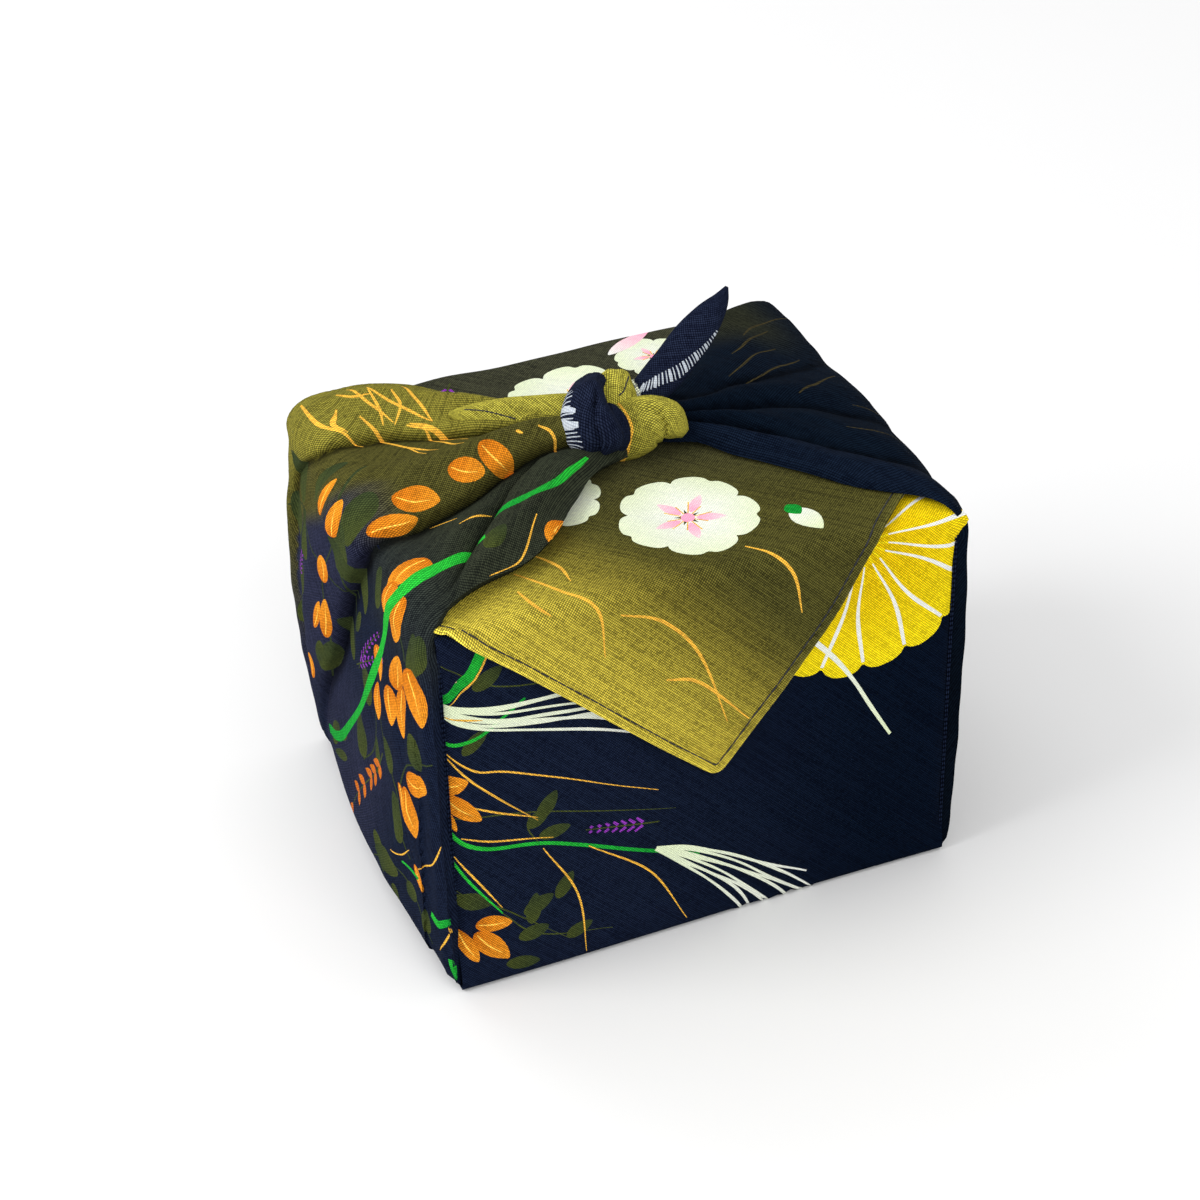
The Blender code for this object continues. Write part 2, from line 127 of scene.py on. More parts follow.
def smooth(keys, values, at):
    """Values read at new places along a monotone cubic through the keys."""
    keys = np.asarray(keys, float)
    values = np.asarray(values, float)
    at = np.clip(np.asarray(at, float), keys[0], keys[-1])
    step = np.diff(keys)
    rise = np.diff(values, axis=0) / step.reshape(-1, *([1] * (values.ndim - 1)))
    slope = np.zeros_like(values)
    same_way = rise[:-1] * rise[1:] > 0
    mean = 2 * rise[:-1] * rise[1:] / np.where(same_way, rise[:-1] + rise[1:], 1)
    slope[1:-1] = np.where(same_way, mean, 0)
    slope[0] = rise[0]
    slope[-1] = rise[-1]
    i = np.clip(np.searchsorted(keys, at, side="right") - 1, 0, len(step) - 1)
    shape = (-1, *([1] * (values.ndim - 1)))
    u = ((at - keys[i]) / step[i]).reshape(shape)
    h = step[i].reshape(shape)
    return (
        (2 * u**3 - 3 * u**2 + 1) * values[i]
        + (u**3 - 2 * u**2 + u) * h * slope[i]
        + (3 * u**2 - 2 * u**3) * values[i + 1]
        + (u**3 - u**2) * h * slope[i + 1]
    )


def soft_curve(points, samples):
    """Points along a curve through the given ones, with some samples for each stretch."""
    points = np.asarray(points, float)
    before = 2 * points[0] - points[1]
    after = 2 * points[-1] - points[-2]
    p = np.vstack([before, points, after])
    line = []
    for a, b, c, d in zip(p, p[1:], p[2:], p[3:]):
        for k in range(samples):
            u = k / samples
            line.append(
                0.5 * (2 * b + (c - a) * u + (2 * a - 5 * b + 4 * c - d) * u**2
                       + (3 * b - a - 3 * c + d) * u**3)
            )
    line.append(points[-1])
    return np.array(line)


def travelled(points):
    """Distance along a path from its first point to each of its points."""
    steps = np.linalg.norm(np.diff(points, axis=0), axis=1)
    return np.concatenate([[0], np.cumsum(steps)])


def fade(value, low, high):
    """0 below low, 1 above high, soft between."""
    share = np.clip((np.asarray(value, float) - low) / (high - low), 0, 1)
    return share * share * (3 - 2 * share)


def blend(first, second, share):
    """The first colour with a share of the second mixed in."""
    share = np.asarray(share, float)
    return first + (second - first) * share[..., None]


# ---------------------------------------------------------------- printed motifs
# A motif is a list of shapes: an outline in the cloth's plane and the colour at its two ends.

# How well the print hides the threads: pigment, and the pale colours, above this lowest channel
PIGMENT_COVER = 0.4
PALE_COVER = 0.8
PALE = 0.25


class Shape:
    def __init__(self, outline, colour, colour_end=None, start=(0, 0), end=(1, 0)):
        outline = np.asarray(outline, float)
        x, y = outline[:, 0], outline[:, 1]
        area = np.sum(x * np.roll(y, -1) - y * np.roll(x, -1))
        self.outline = outline if area > 0 else outline[::-1]
        self.colour = np.asarray(colour, float)
        self.colour_end = self.colour if colour_end is None else np.asarray(colour_end, float)
        self.start = np.asarray(start, float)
        self.along = np.asarray(end, float) - self.start

    def paint(self, points):
        """Colour at each point, and how well the pigment covers the threads."""
        share = (points - self.start) @ self.along / (self.along @ self.along)
        colour = blend(self.colour, self.colour_end, np.clip(share, 0, 1))
        cover = np.where(colour.min(axis=1) > PALE, PALE_COVER, PIGMENT_COVER)
        return np.concatenate([colour, cover[:, None]], axis=1)


def heading(angle):
    """The direction at an angle in degrees."""
    turn = math.radians(angle)
    return np.array([math.cos(turn), math.sin(turn)])


def bearing(way):
    """The angle of a direction in degrees."""
    return math.degrees(math.atan2(way[1], way[0]))


def left_of(way):
    return np.array([-way[1], way[0]])


def ribbon(points, widths, colour, colour_end=None, samples=8):
    """A brush stroke through a few points, with its width at each of them."""
    line = soft_curve(points, samples)
    width = np.interp(np.linspace(0, 1, len(line)), np.linspace(0, 1, len(widths)), widths)
    ahead = np.gradient(line, axis=0)
    ahead /= np.linalg.norm(ahead, axis=1)[:, None] + 1e-9
    across = np.stack([-ahead[:, 1], ahead[:, 0]], axis=1) * width[:, None] / 2
    outline = np.vstack([line + across, (line - across)[::-1]])
    return [Shape(outline, colour, colour_end, line[0], line[-1])]


def leaf(at, angle, length, width, colour, colour_end=None, vein=None, steps=10, blunt=0.8):
    """An oval leaf with its foot at a point, and a pale vein if it has one."""
    way = heading(angle)
    side = left_of(way)
    place = (1 - np.cos(math.pi * np.linspace(0, 1, steps + 1))) / 2
    half = width / 2 * np.sin(math.pi * place**0.85) ** blunt
    line = np.asarray(at, float) + way * (length * place)[:, None]
    bulge = side * half[:, None]
    outline = np.vstack([line + bulge, (line - bulge)[::-1][1:-1]])
    shapes = [Shape(outline, colour, colour_end, line[0], line[-1])]
    if vein is not None:
        foot = np.asarray(at, float)
        bend = foot + way * length * 0.45 + side * width * 0.08
        shapes += ribbon([foot + way * length * 0.08, bend, foot + way * length * 0.8],
                         (0.3, 0.55, 0.15), vein, samples=5)
    return shapes


def orange_leaf(at, angle, length, width):
    return leaf(at, angle, length, width, ORANGE, ORANGE_LIGHT, ORANGE_VEIN, blunt=0.62)


def olive_leaf(at, angle, length, width):
    return leaf(at, angle, length, width, LEAF_OLIVE, LEAF_OLIVE_DIM, blunt=0.6)


def small_leaf(at, angle, length, width):
    return leaf(at, angle, length, width, ORANGE_DIM, ORANGE, steps=6)


def leaf_between(foot, tip, width, maker):
    """A leaf from one place to another."""
    way = np.subtract(tip, foot)
    return maker(foot, bearing(way), np.hypot(*way), width)


def spray(points, leaf_maker, size, pairs):
    """A curved stem with pairs of leaves and one at its end."""
    shapes = ribbon(points, (0.9, 0.7, 0.4), LEAF_OLIVE)
    line = soft_curve(points, 12)
    for pair in range(pairs):
        place = int((0.25 + 0.75 * pair / pairs) * (len(line) - 2))
        angle = bearing(line[place + 1] - line[place])
        shapes += leaf_maker(line[place], angle + 52, size, size * 0.55)
        shapes += leaf_maker(line[place], angle - 48, size * 0.92, size * 0.5)
    return shapes + leaf_maker(line[-1], bearing(line[-1] - line[-3]), size * 1.05, size * 0.55)


def spray_at(at, angle, reach, size, bend=14):
    """A short spray of olive leaves: it starts at an angle and bends on its way."""
    middle, end = reach
    return spray([at, at + heading(angle) * middle, at + heading(angle + bend) * end],
                 olive_leaf, size, 2)


# The blades of a plume: share of their length, and how far they have parted there
PLUME_BLADE = ((0.2, 1.5), (0.45, 1.1), (0.72, 0.9), (1.0, 1.0))


def plume(base, angle, length, spread, strands, bend, dip=0.0):
    """A tuft of grass: wavy white blades that part from one foot, steeper there by the dip."""
    shapes = []
    base = np.asarray(base, float)
    for k in range(strands):
        place = k / (strands - 1) - 0.5
        reach = length * (1 - 0.3 * abs(place) + 0.12 * math.sin(7.0 * k))
        points = [base]
        for share, lean in PLUME_BLADE:
            sway = 1.6 * math.sin(5.0 * share + 2.1 * k)
            parted = angle + spread * lean * place
            way = heading(parted + bend * share + dip * (1 - share) ** 3 + sway)
            points.append(base + way * reach * share)
        shapes += ribbon(points, (1.5, 1.0, 0.7, 1.0, 0.5), CREAM, WHITE)
    return shapes


def sprig(base, angle, length, ticks):
    """A sprig of small purple buds."""
    base = np.asarray(base, float)
    way = heading(angle)
    stem = [base, base + way * length / 2, base + way * length]
    shapes = ribbon(stem, (0.5, 0.5, 0.3), LEAF_OLIVE)
    for k in range(ticks):
        foot = base + way * length * (0.2 + 0.8 * k / ticks)
        for lean in (38, -42):
            aside = heading(angle + lean)
            tip = foot + aside * (3.6 - 0.3 * k)
            shapes += ribbon([foot + aside * 0.8, tip], (1.0, 0.7), PURPLE, samples=2)
    return shapes


def mirrored(centre, ahead, aside, profile, tip, root=()):
    """A soft closed outline: from the root over the (along, aside) places of a profile to the
    tip, and back over the same places on the other side."""
    outline = [centre + ahead * along for along in root]
    outline += [centre + ahead * along + aside * half for along, half in profile]
    outline.append(centre + ahead * tip)
    outline += [centre + ahead * along - aside * half for along, half in profile[::-1]]
    return soft_curve(np.vstack([outline, outline[:1]]), 3)[:-1]


PETAL = ((0.1, 0.05), (0.35, 0.32), (0.6, 0.48), (0.8, 0.48), (0.95, 0.3), (1.0, 0.12))
PETAL_NOTCH = 0.95
NARROW_PETAL = ((0.6, 0.62), (0.85, 0.97), (0.95, 0.85), (1.0, 0.45))


def petal(centre, angle, reach, width):
    """A broad petal with a small notch at its tip."""
    way = heading(angle)
    outline = mirrored(centre, way * reach, left_of(way) * width, PETAL, PETAL_NOTCH)
    return Shape(outline, WHITE, blend(WHITE, PALE_GREEN, 0.75), centre, centre + way * reach)


def blossom(centre, radius, turn, petals=5):
    """An open white blossom with a pink heart."""
    centre = np.asarray(centre, float)
    turns = [turn + 360 * k / petals for k in range(petals)]
    shapes = [petal(centre, angle, radius, radius * 0.98) for angle in turns]
    for angle in turns:
        shapes += leaf(centre + heading(angle) * radius * 0.12, angle, radius * 0.42,
                       radius * 0.16, PINK, blend(PINK, WHITE, 0.6))
    for k in range(2 * petals):
        way = heading(turn + 18 + 360 * k / (2 * petals))
        tip = centre + way * radius * (0.3 + 0.05 * (k % 2))
        shapes += ribbon([centre + way * radius * 0.08, tip], (0.35, 0.35), GOLD_LINE, samples=2)
    heart = [centre + heading(30.0 * k) * radius * 0.1 for k in range(12)]
    return shapes + [Shape(heart, PINK)]


def bud(at, angle, size):
    """A closed white bud in a green cup."""
    cup = np.asarray(at) - heading(angle) * size * 0.15
    shapes = leaf(at, angle, size, size * 0.62, WHITE, PALE_GREEN)
    return shapes + leaf(cup, angle, size * 0.45, size * 0.4, GREEN_DEEP)


def chrysanthemum(centre, radius, petals, turn):
    """A big round yellow flower, its petals parted by white lines."""
    centre = np.asarray(centre, float)
    rim = [centre + heading(9.0 * k) * radius * 0.95 for k in range(40)]
    shapes = [Shape(rim, YELLOW)]
    half = math.pi * radius / petals
    for k in range(petals):
        way = heading(turn + 360 * k / petals)
        outline = mirrored(centre, way * radius, left_of(way) * half, NARROW_PETAL, 1.01, (0.05,))
        shapes.append(Shape(outline, YELLOW_DEEP, YELLOW, centre + way * radius * 0.3,
                            centre + way * radius))
    for k in range(petals):
        angle = turn + 360 * (k + 0.5) / petals
        bow = 4.0 * (-1) ** k
        points = [centre + heading(angle) * radius * 0.18,
                  centre + heading(angle + bow) * radius * 0.55,
                  centre + heading(angle) * radius * 0.93]
        shapes += ribbon(points, (0.4, 0.8, 1.3, 1.0), WHITE)
    return shapes


# ---------------------------------------------------------------- triangulated panels

# Points closer than this are one; grid points keep the other distances from outlines and lines
CDT_GAP = 1e-5
PANEL_GAP = 0.45
STRAND_GAP = 0.3
# Edges that turn by more degrees than this are shaded as edges
SHARP_ANGLE = 65


def clear_of(points, marks, gap):
    """The points that keep their distance from the marks."""
    tree = KDTree(len(marks))
    for i, mark in enumerate(marks):
        tree.insert((mark[0], mark[1], 0), i)
    tree.balance()
    far = [tree.find((p[0], p[1], 0))[2] > gap for p in points]
    return points[np.array(far)]


def triangulate(outline, grid, lines, shapes, gap):
    """Triangles that fill an outline and keep every line and printed shape as edges, and the
    topmost shape of each triangle (-1 for bare cloth)."""
    coords = [Vector(p) for p in outline]
    faces = [list(range(len(outline)))]
    edges = []
    for shape in shapes:
        first = len(coords)
        coords += [Vector(p) for p in shape.outline]
        faces.append(list(range(first, len(coords))))
    for line in lines:
        first = len(coords)
        coords += [Vector(p) for p in line]
        edges += [(i, i + 1) for i in range(first, len(coords) - 1)]
    marks = np.vstack([outline, *(shape.outline for shape in shapes), *lines])
    coords += [Vector(p) for p in clear_of(grid, marks, gap)]
    verts, _, tris, _, _, owners = delaunay_2d_cdt(coords, edges, faces, 0, CDT_GAP, True)
    kept = [(tri, max(own) - 1) for tri, own in zip(tris, owners) if 0 in own]
    points = np.array([(v.x, v.y) for v in verts])
    used, tris = np.unique(np.array([t for t, _ in kept]), return_inverse=True)
    return points[used], tris.reshape(-1, 3), np.array([top for _, top in kept])


def add_object(name, data):
    made = bpy.data.objects.new(name, data)
    bpy.context.scene.collection.objects.link(made)
    return made


class Cloth:
    """Collects the panels of the cloth into one mesh with print colours and thread places."""

    def __init__(self):
        self.verts = []
        self.tris = []
        self.colours = []
        self.threads = []
        self.count = 0

    def add(self, points, tris, corner_colours, threads):
        self.verts.append(points)
        self.tris.append(tris + self.count)
        self.colours.append(corner_colours)
        self.threads.append(threads)
        self.count += len(points)

    def add_sheet(self, points, tris, corner_colours, threads, thickness):
        """An outer face, the same face a little further in, and the rim between them."""
        normals = vertex_normals(points, tris)
        inner = points - normals * np.reshape(thickness, (-1, 1))
        n = len(points)
        rim, rim_source = rim_triangles(tris, n)
        rim_colours = corner_at(tris, corner_colours, rim, rim_source, n)
        self.add(
            np.vstack([points, inner]),
            np.vstack([tris, tris[:, ::-1] + n, rim]),
            np.concatenate([corner_colours, corner_colours[:, ::-1], rim_colours]),
            np.vstack([threads, threads]),
        )

    def build(self, name, material):
        mesh = bpy.data.meshes.new(name)
        verts = np.vstack(self.verts) * MM
        tris = np.vstack(self.tris)
        mesh.from_pydata(verts.tolist(), [], tris.tolist())
        rgba = np.vstack([c.reshape(-1, 4) for c in self.colours])
        print_layer = mesh.color_attributes.new("print", "FLOAT_COLOR", "CORNER")
        print_layer.data.foreach_set("color", rgba.ravel())
        threads = np.zeros((len(verts), 3))
        threads[:, :2] = np.vstack(self.threads)
        thread_layer = mesh.attributes.new("thread", "FLOAT_VECTOR", "POINT")
        thread_layer.data.foreach_set("vector", threads.ravel())
        mesh.materials.append(material)
        mesh.update()
        mesh.shade_smooth()
        mesh.set_sharp_from_angle(angle=math.radians(SHARP_ANGLE))
        return add_object(name, mesh)


def vertex_normals(points, tris):
    a, b, c = points[tris[:, 0]], points[tris[:, 1]], points[tris[:, 2]]
    face = np.cross(b - a, c - a)
    normals = np.zeros_like(points)
    for corner in range(3):
        np.add.at(normals, tris[:, corner], face)
    return normals / (np.linalg.norm(normals, axis=1)[:, None] + 1e-12)


def rim_triangles(tris, n):
    """Triangles that close the border between a face and its copy n points further on."""
    edges = np.concatenate([tris[:, [0, 1]], tris[:, [1, 2]], tris[:, [2, 0]]])
    owner = np.tile(np.arange(len(tris)), 3)
    keys = edges[:, 0] * (n + 1) + edges[:, 1]
    back = edges[:, 1] * (n + 1) + edges[:, 0]
    border = ~np.isin(keys, back)
    a, b = edges[border, 0], edges[border, 1]
    first = np.stack([b, a, a + n], axis=1)
    second = np.stack([b, a + n, b + n], axis=1)
    return np.vstack([first, second]), np.tile(owner[border], 2)


def corner_at(tris, corner_colours, rim, source, n):
    """Colours of the rim's corners, read from the triangle each one borders."""
    wanted = rim % n
    out = np.zeros((len(rim), 3, 4))
    for corner in range(3):
        match = tris[source] == wanted[:, corner][:, None]
        pick = np.argmax(match, axis=1)
        out[:, corner] = corner_colours[source, pick]
    return out


def unprinted(count, colour):
    """Corner colours of triangles without pigment: the threads show the colour itself."""
    colours = np.zeros((count, 3, 4))
    colours[:, :, :3] = colour
    return colours


def paint(points, tris, tops, shapes, ground):
    """Colour of each triangle's corners: the printed shape on top, or the ground."""
    corners = points[tris]
    colours = unprinted(len(tris), ground(corners.reshape(-1, 2)).reshape(-1, 3, 3))
    for index in np.unique(tops[tops >= 0]):
        mine = tops == index
        colours[mine] = shapes[index].paint(corners[mine].reshape(-1, 2)).reshape(-1, 3, 4)
    return colours


# ---------------------------------------------------------------- the middle of the cloth
# Places on it are (x, s): s is the distance over the cloth from the inner end of the near flap,
# down the front, under the box, up the back, over the top and down to the hanging corner.

# How far the path of the hanging corner leans out at its tip
CORNER_LEAN = 0.6


class BandPath:
    """The path of the middle cloth across the parcel, as lines and arcs in the Y-Z plane."""

    def __init__(self):
        r = EDGE_R
        front, back = -HALF_D + r, HALF_D - r
        over = r + LAYER_GAP + FRAME_CLOTH_T
        outer = -HALF_D - over + r
        self.points = []
        self.normals = []
        self.marks = {}
        self.line((-HALF_D + NEAR_FLAP_REACH, NEAR_FLAP_TOP), (front, NEAR_FLAP_TOP), "near_flap")
        self.arc((front, NEAR_FLAP_TOP - r), r, 90, 180, "near_edge")
        self.line((-HALF_D, NEAR_FLAP_TOP - r), (-HALF_D, r), "front")
        self.arc((front, r), r, 180, 270, "front_foot")
        self.line((front, 0), (back, 0), "base")
        self.arc((back, r), r, 270, 360, "back_foot")
        self.line((HALF_D, r), (HALF_D, FAR_FLAP_TOP - r), "back")
        self.arc((back, FAR_FLAP_TOP - r), r, 0, 90, "far_edge")
        self.line((back, FAR_FLAP_TOP), (front, FAR_FLAP_TOP), "top")
        self.arc((front, NEAR_FLAP_TOP - r), over, 90, 180, "fold_over")
        self.line((outer, NEAR_FLAP_TOP - r), (outer - CORNER_LEAN, TIP_Z), "corner")
        self.points = np.array(self.points)
        self.normals = np.array(self.normals)
        self.travel = travelled(self.points)
        self.start = {name: self.travel[i] for name, (i, j) in self.marks.items()}
        self.end = {name: self.travel[j] for name, (i, j) in self.marks.items()}

    def line(self, first, last, name):
        ahead = np.subtract(last, first) / math.dist(first, last)
        normal = (ahead[1], -ahead[0])
        begin = len(self.points)
        for share in np.linspace(0, 1, 12):
            self.points.append(np.add(first, np.subtract(last, first) * share))
            self.normals.append(normal)
        self.marks[name] = (begin, len(self.points) - 1)

    def arc(self, centre, radius, first, last, name):
        begin = len(self.points)
        for angle in np.radians(np.linspace(first, last, 17)):
            way = np.array([math.cos(angle), math.sin(angle)])
            self.points.append(np.array(centre) + way * radius)
            self.normals.append(way)
        self.marks[name] = (begin, len(self.points) - 1)

    def at(self, s):
        """Y, Z and the outward direction at places along the path."""
        columns = (*self.points.T, *self.normals.T)
        return tuple(np.interp(s, self.travel, column) for column in columns)


PATH = BandPath()
S_FRONT = PATH.start["front"]
S_BACK = PATH.start["back"]
S_TOP = PATH.start["top"]
S_FOLD = PATH.end["top"]
S_TIP = PATH.end["corner"]
# From here on the hem runs along the edge of the cloth
S_HEM = S_FOLD - 22


def on_front(x, z):
    return np.array([x, S_FRONT + NEAR_FLAP_TOP - EDGE_R - z])


def on_back(x, z):
    return np.array([x, S_BACK + z - EDGE_R])


def on_top(x, y):
    return np.array([x, S_TOP + HALF_D - EDGE_R - y])


def on_corner(x, z):
    """A place on the corner of the cloth that hangs over the front."""
    return np.array([x, PATH.start["corner"] + NEAR_FLAP_TOP - EDGE_R - z])


# The hem of the hanging corner: x at distances past the front edge of the top, from the left
# tuck round the tip to the right tuck
HEM_CORNERS = (
    (-75.5, 0.0), (-49.0, 22.6), (TIP_X, 69.6), (33.0, 31.5), (52.0, 3.0), (72.0, -17.0),
)
# How far from the tip its rounding starts, and how far it is filled out
TIP_ROUND = 5.0
TIP_FULLNESS = 0.3


def hem_path():
    """Points along the hem of the hanging corner, about 1.4 mm apart."""
    c = [np.array([x, S_FOLD + at]) for x, at in HEM_CORNERS]
    tip = c[2]
    to_left = (c[1] - tip) / np.linalg.norm(c[1] - tip)
    to_right = (c[3] - tip) / np.linalg.norm(c[3] - tip)
    left_part = soft_curve([c[0], c[1], tip + to_left * TIP_ROUND], 24)
    right_part = soft_curve([tip + to_right * TIP_ROUND, c[3], c[4], c[5]], 18)
    pull = tip - (to_left + to_right) * TIP_FULLNESS
    turn = [
        (1 - u) ** 2 * left_part[-1] + 2 * u * (1 - u) * pull + u**2 * right_part[0]
        for u in np.linspace(0, 1, 9)[1:-1]
    ]
    return np.vstack([left_part, turn, right_part])


HEM = hem_path()
# Points of a moved path that are closer than this are left out
HEM_STEP = 0.3


def inset(path, distance):
    """A path moved to its right-hand side by a distance, with crowded points left out."""
    ahead = np.gradient(path, axis=0)
    ahead /= np.linalg.norm(ahead, axis=1)[:, None]
    moved = path + np.stack([ahead[:, 1], -ahead[:, 0]], axis=1) * distance
    kept = [moved[0]]
    for point, way in zip(moved[1:], ahead[1:]):
        if (point - kept[-1]) @ way > HEM_STEP:
            kept.append(point)
    return np.array(kept)


def distance_to(path, points):
    """Distance from each point to a path."""
    best = np.full(len(points), 1e9)
    for a, b in zip(path, path[1:]):
        along = np.clip(((points - a) @ (b - a)) / ((b - a) @ (b - a)), 0, 1)
        gap = np.linalg.norm(points - (a + along[:, None] * (b - a)), axis=1)
        best = np.minimum(best, gap)
    return best


# The turned hem: distance from its edge and height above the cloth
HEM_PROFILE = (
    (0, -0.25), (0.25, 0.25), (0.6, 0.5), (1.4, 0.52), (2.4, 0.4), (HEM_W, -0.02), (3.4, 0.14),
    (4.4, 0.0),
)
# How much thicker the hem is, where it is turned
HEM_EXTRA = 0.45


def hem_height(distance):
    """Height of the hem above the cloth, by the distance from its edge."""
    places, heights = zip(*HEM_PROFILE)
    return np.interp(distance, places, heights)


# Soft unevenness of the flat cloth: length of the wave along x and s, its lean and its height
RIPPLES = (
    (61.0, 97.0, 0.4, 0.28), (38.0, -71.0, 1.9, 0.2), (-83.0, 45.0, 3.1, 0.24),
    (29.0, 33.0, 5.2, 0.12), (-24.0, 52.0, 2.4, 0.1),
)
# How far the front and the back swell between their edges
FRONT_BELLY = 1.3
BACK_BELLY = 1.6
# The upright edges: radius, how far the cloth falls back there at most, and how far from the base
# and the top it does so in full
EDGE_ROUND = 4.0
EDGE_DROP = 2.2
EDGE_FADE = 14.0
# How far the hanging hem stands off at the left, and over what width
HEM_LIFT = 1.5
HEM_LIFT_WIDTH = 8.0
# The pointed ear at the right front corner of the near flap: how far it stands out, how far it
# reaches up and down, and how far in from the side
DOG_EAR = 2.6
DOG_EAR_DROP = 6.0
DOG_EAR_WIDTH = 3


def ripples(x, s):
    total = np.zeros_like(x)
    for along_x, along_s, lean, height in RIPPLES:
        total += height * np.sin(2 * math.pi * (x / along_x + s / along_s) + lean)
    return total


def soft_line(points, first, last, height, half_width):
    """A soft ridge (or trough) along a line, fading at both ends."""
    first = np.asarray(first, float)
    along = np.asarray(last, float) - first
    share = ((points - first) @ along) / (along @ along)
    gap = np.linalg.norm(points - (first + np.clip(share, 0, 1)[:, None] * along), axis=1)
    ends = np.clip(1.25 - np.abs(share - 0.5) * 1.5, 0, 1)
    return height * np.exp(-((gap / half_width) ** 2)) * ends


# Long shallow ridges and dents of the front, the top and the back: ends, height, half width
BAND_CREASES = (
    (on_top(-30, -40), on_top(20, -60), 0.5, 9.0),
    (on_top(20, -12), on_top(48, -50), -0.6, 9.0),
    (on_top(-5, -14), on_top(8, -58), -0.5, 8.0),
    (on_corner(-50, 112), on_corner(-6, 66), 0.7, 12.0),
    (on_top(0, 16), on_top(-8, 60), -0.5, 10.0),
    (on_top(8, 18), on_top(34, 60), 0.5, 10.0),
    (on_corner(-70, 112), on_corner(-58, 100), -0.6, 4.5),
    (on_front(-71, 108), on_front(-69, 98), -1.6, 2.6),
    (on_front(-72, 60), on_front(-30, 20), 0.5, 10.0),
    (on_front(20, 90), on_front(66, 30), 0.4, 14.0),
    (on_back(-60, 100), on_back(20, 40), 0.5, 12.0),
    (on_back(60, 104), on_back(0, 60), -0.4, 10.0),
)


def under_box(s):
    """Whether places along the path lie on the base or on the edges at its front and back."""
    return (s > PATH.start["front_foot"]) & (s < PATH.end["back_foot"])


def band_relief(points):
    """How far the middle cloth stands off its path."""
    x, s = points[:, 0], points[:, 1]
    _, z, ny, _ = PATH.at(s)
    wall = fade(np.abs(ny), 0.6, 1.0)
    from_edge = np.clip(np.abs(x) - (HALF_W - EDGE_ROUND), 0, EDGE_ROUND)
    drop = EDGE_ROUND - np.sqrt(np.maximum(0, EDGE_ROUND**2 - from_edge**2))
    ease = np.clip(np.minimum(z - EDGE_R, FAR_FLAP_TOP - EDGE_R - z) / EDGE_FADE, 0, 1)
    belly = np.where(ny < 0, FRONT_BELLY, BACK_BELLY)
    rise = np.sin(math.pi * np.clip(z, 0, PARCEL_H) / PARCEL_H)
    swell = np.cos(math.pi * x / PARCEL_W) * rise
    relief = wall * (belly * np.maximum(0, swell) - ease * np.minimum(EDGE_DROP, drop))
    hanging = s > S_FOLD + 2
    over = belly * np.maximum(0, np.cos(math.pi * 0.6 * x / PARCEL_W) * rise)
    relief = np.where(hanging, wall * over, relief)
    walls = (s > PATH.start["front"]) & (s < PATH.end["back"])
    calm = fade(HALF_W - np.abs(x), 1, 14) * np.where(walls & (z < 8), 0, 1)
    base = under_box(s)
    relief = relief + np.where(base, 0, calm * ripples(x, s) * 0.8)
    for first, last, height, half_width in BAND_CREASES:
        relief += np.where(base, 0, soft_line(points, first, last, height, half_width))
    hem = distance_to(HEM, points)
    relief += np.where(s > S_HEM, hem_height(hem), 0)
    lift = np.clip(1 - hem / HEM_LIFT_WIDTH, 0, 1) * fade(-x, -4, 40)
    return relief + np.where(hanging, lift * HEM_LIFT, 0)


# How sharp the long edges of the base are, and how far the cloth bulges at the foot of the front
FOOT_SHARPNESS = 0.65
CORNER_SAG = 2.6


def foot_bulge(x, y, z):
    """How far the cloth bulges forward at the foot of the front, most at the left corner."""
    level = np.where(z > 0.5, 1 - fade(z, 4, 46), 1 - fade(y, -HALF_D + 4, -HALF_D + 34))
    return np.where(y < 0, CORNER_SAG * level * (1 - fade(x, -76, 56)), 0)


def band_place(points):
    """Places in space of places on the middle cloth."""
    x, s = points[:, 0], points[:, 1]
    y, z, ny, nz = PATH.at(s)
    relief = band_relief(points)
    steep = np.maximum(np.abs(ny), np.abs(nz))
    relief = relief + np.where(under_box(s), EDGE_R * (1 / steep - 1) * FOOT_SHARPNESS, 0)
    y = y - np.where(s < S_BACK, foot_bulge(x, y, z), 0)
    near_edge = np.clip(1 - np.abs(NEAR_FLAP_TOP - EDGE_R - z) / DOG_EAR_DROP, 0, 1)
    near_edge *= 1 - fade(y, 0.5 - HALF_D, 4 - HALF_D)
    corner = (s < S_FRONT + 12) & (x > HALF_W - DOG_EAR_WIDTH)
    point = DOG_EAR * near_edge * (x - HALF_W + DOG_EAR_WIDTH) / DOG_EAR_WIDTH
    ear = np.where(corner, point, 0)
    return np.stack([x + ear, y + ny * relief, z + nz * relief], axis=1)


# Over the top, where the sides cover it, the band is narrower by this on each side. It narrows
# over the first length, past the far edge, and widens on the left over the last one.
COVERED_IN = 3
NARROWS_OVER = 9
WIDENS_OVER = 12
# Where the straight edges end and the hem closes the outline
RIGHT_EDGE_END = S_FOLD - 16.5
LEFT_EDGE_END = S_FOLD + 0.5


def band_outline(s_lines):
    """The middle cloth's outline: its straight edges, closed by the hem."""
    left = []
    right = []
    for s in s_lines[s_lines < LEFT_EDGE_END]:
        if s < PATH.start["far_edge"]:
            half = HALF_W
        elif s < RIGHT_EDGE_END:
            half = HALF_W - COVERED_IN * np.clip((s - PATH.start["far_edge"]) / NARROWS_OVER, 0, 1)
        else:
            half = HALF_W - COVERED_IN * np.clip((S_FOLD - s) / WIDENS_OVER, 0, 1)
        left.append((-half, s))
        if s < RIGHT_EDGE_END:
            right.append((half, s))
    return np.vstack([right, HEM[::-1], left[::-1]])


def spread(first, last, step):
    return np.linspace(first, last, max(2, round((last - first) / step) + 1))[:-1]


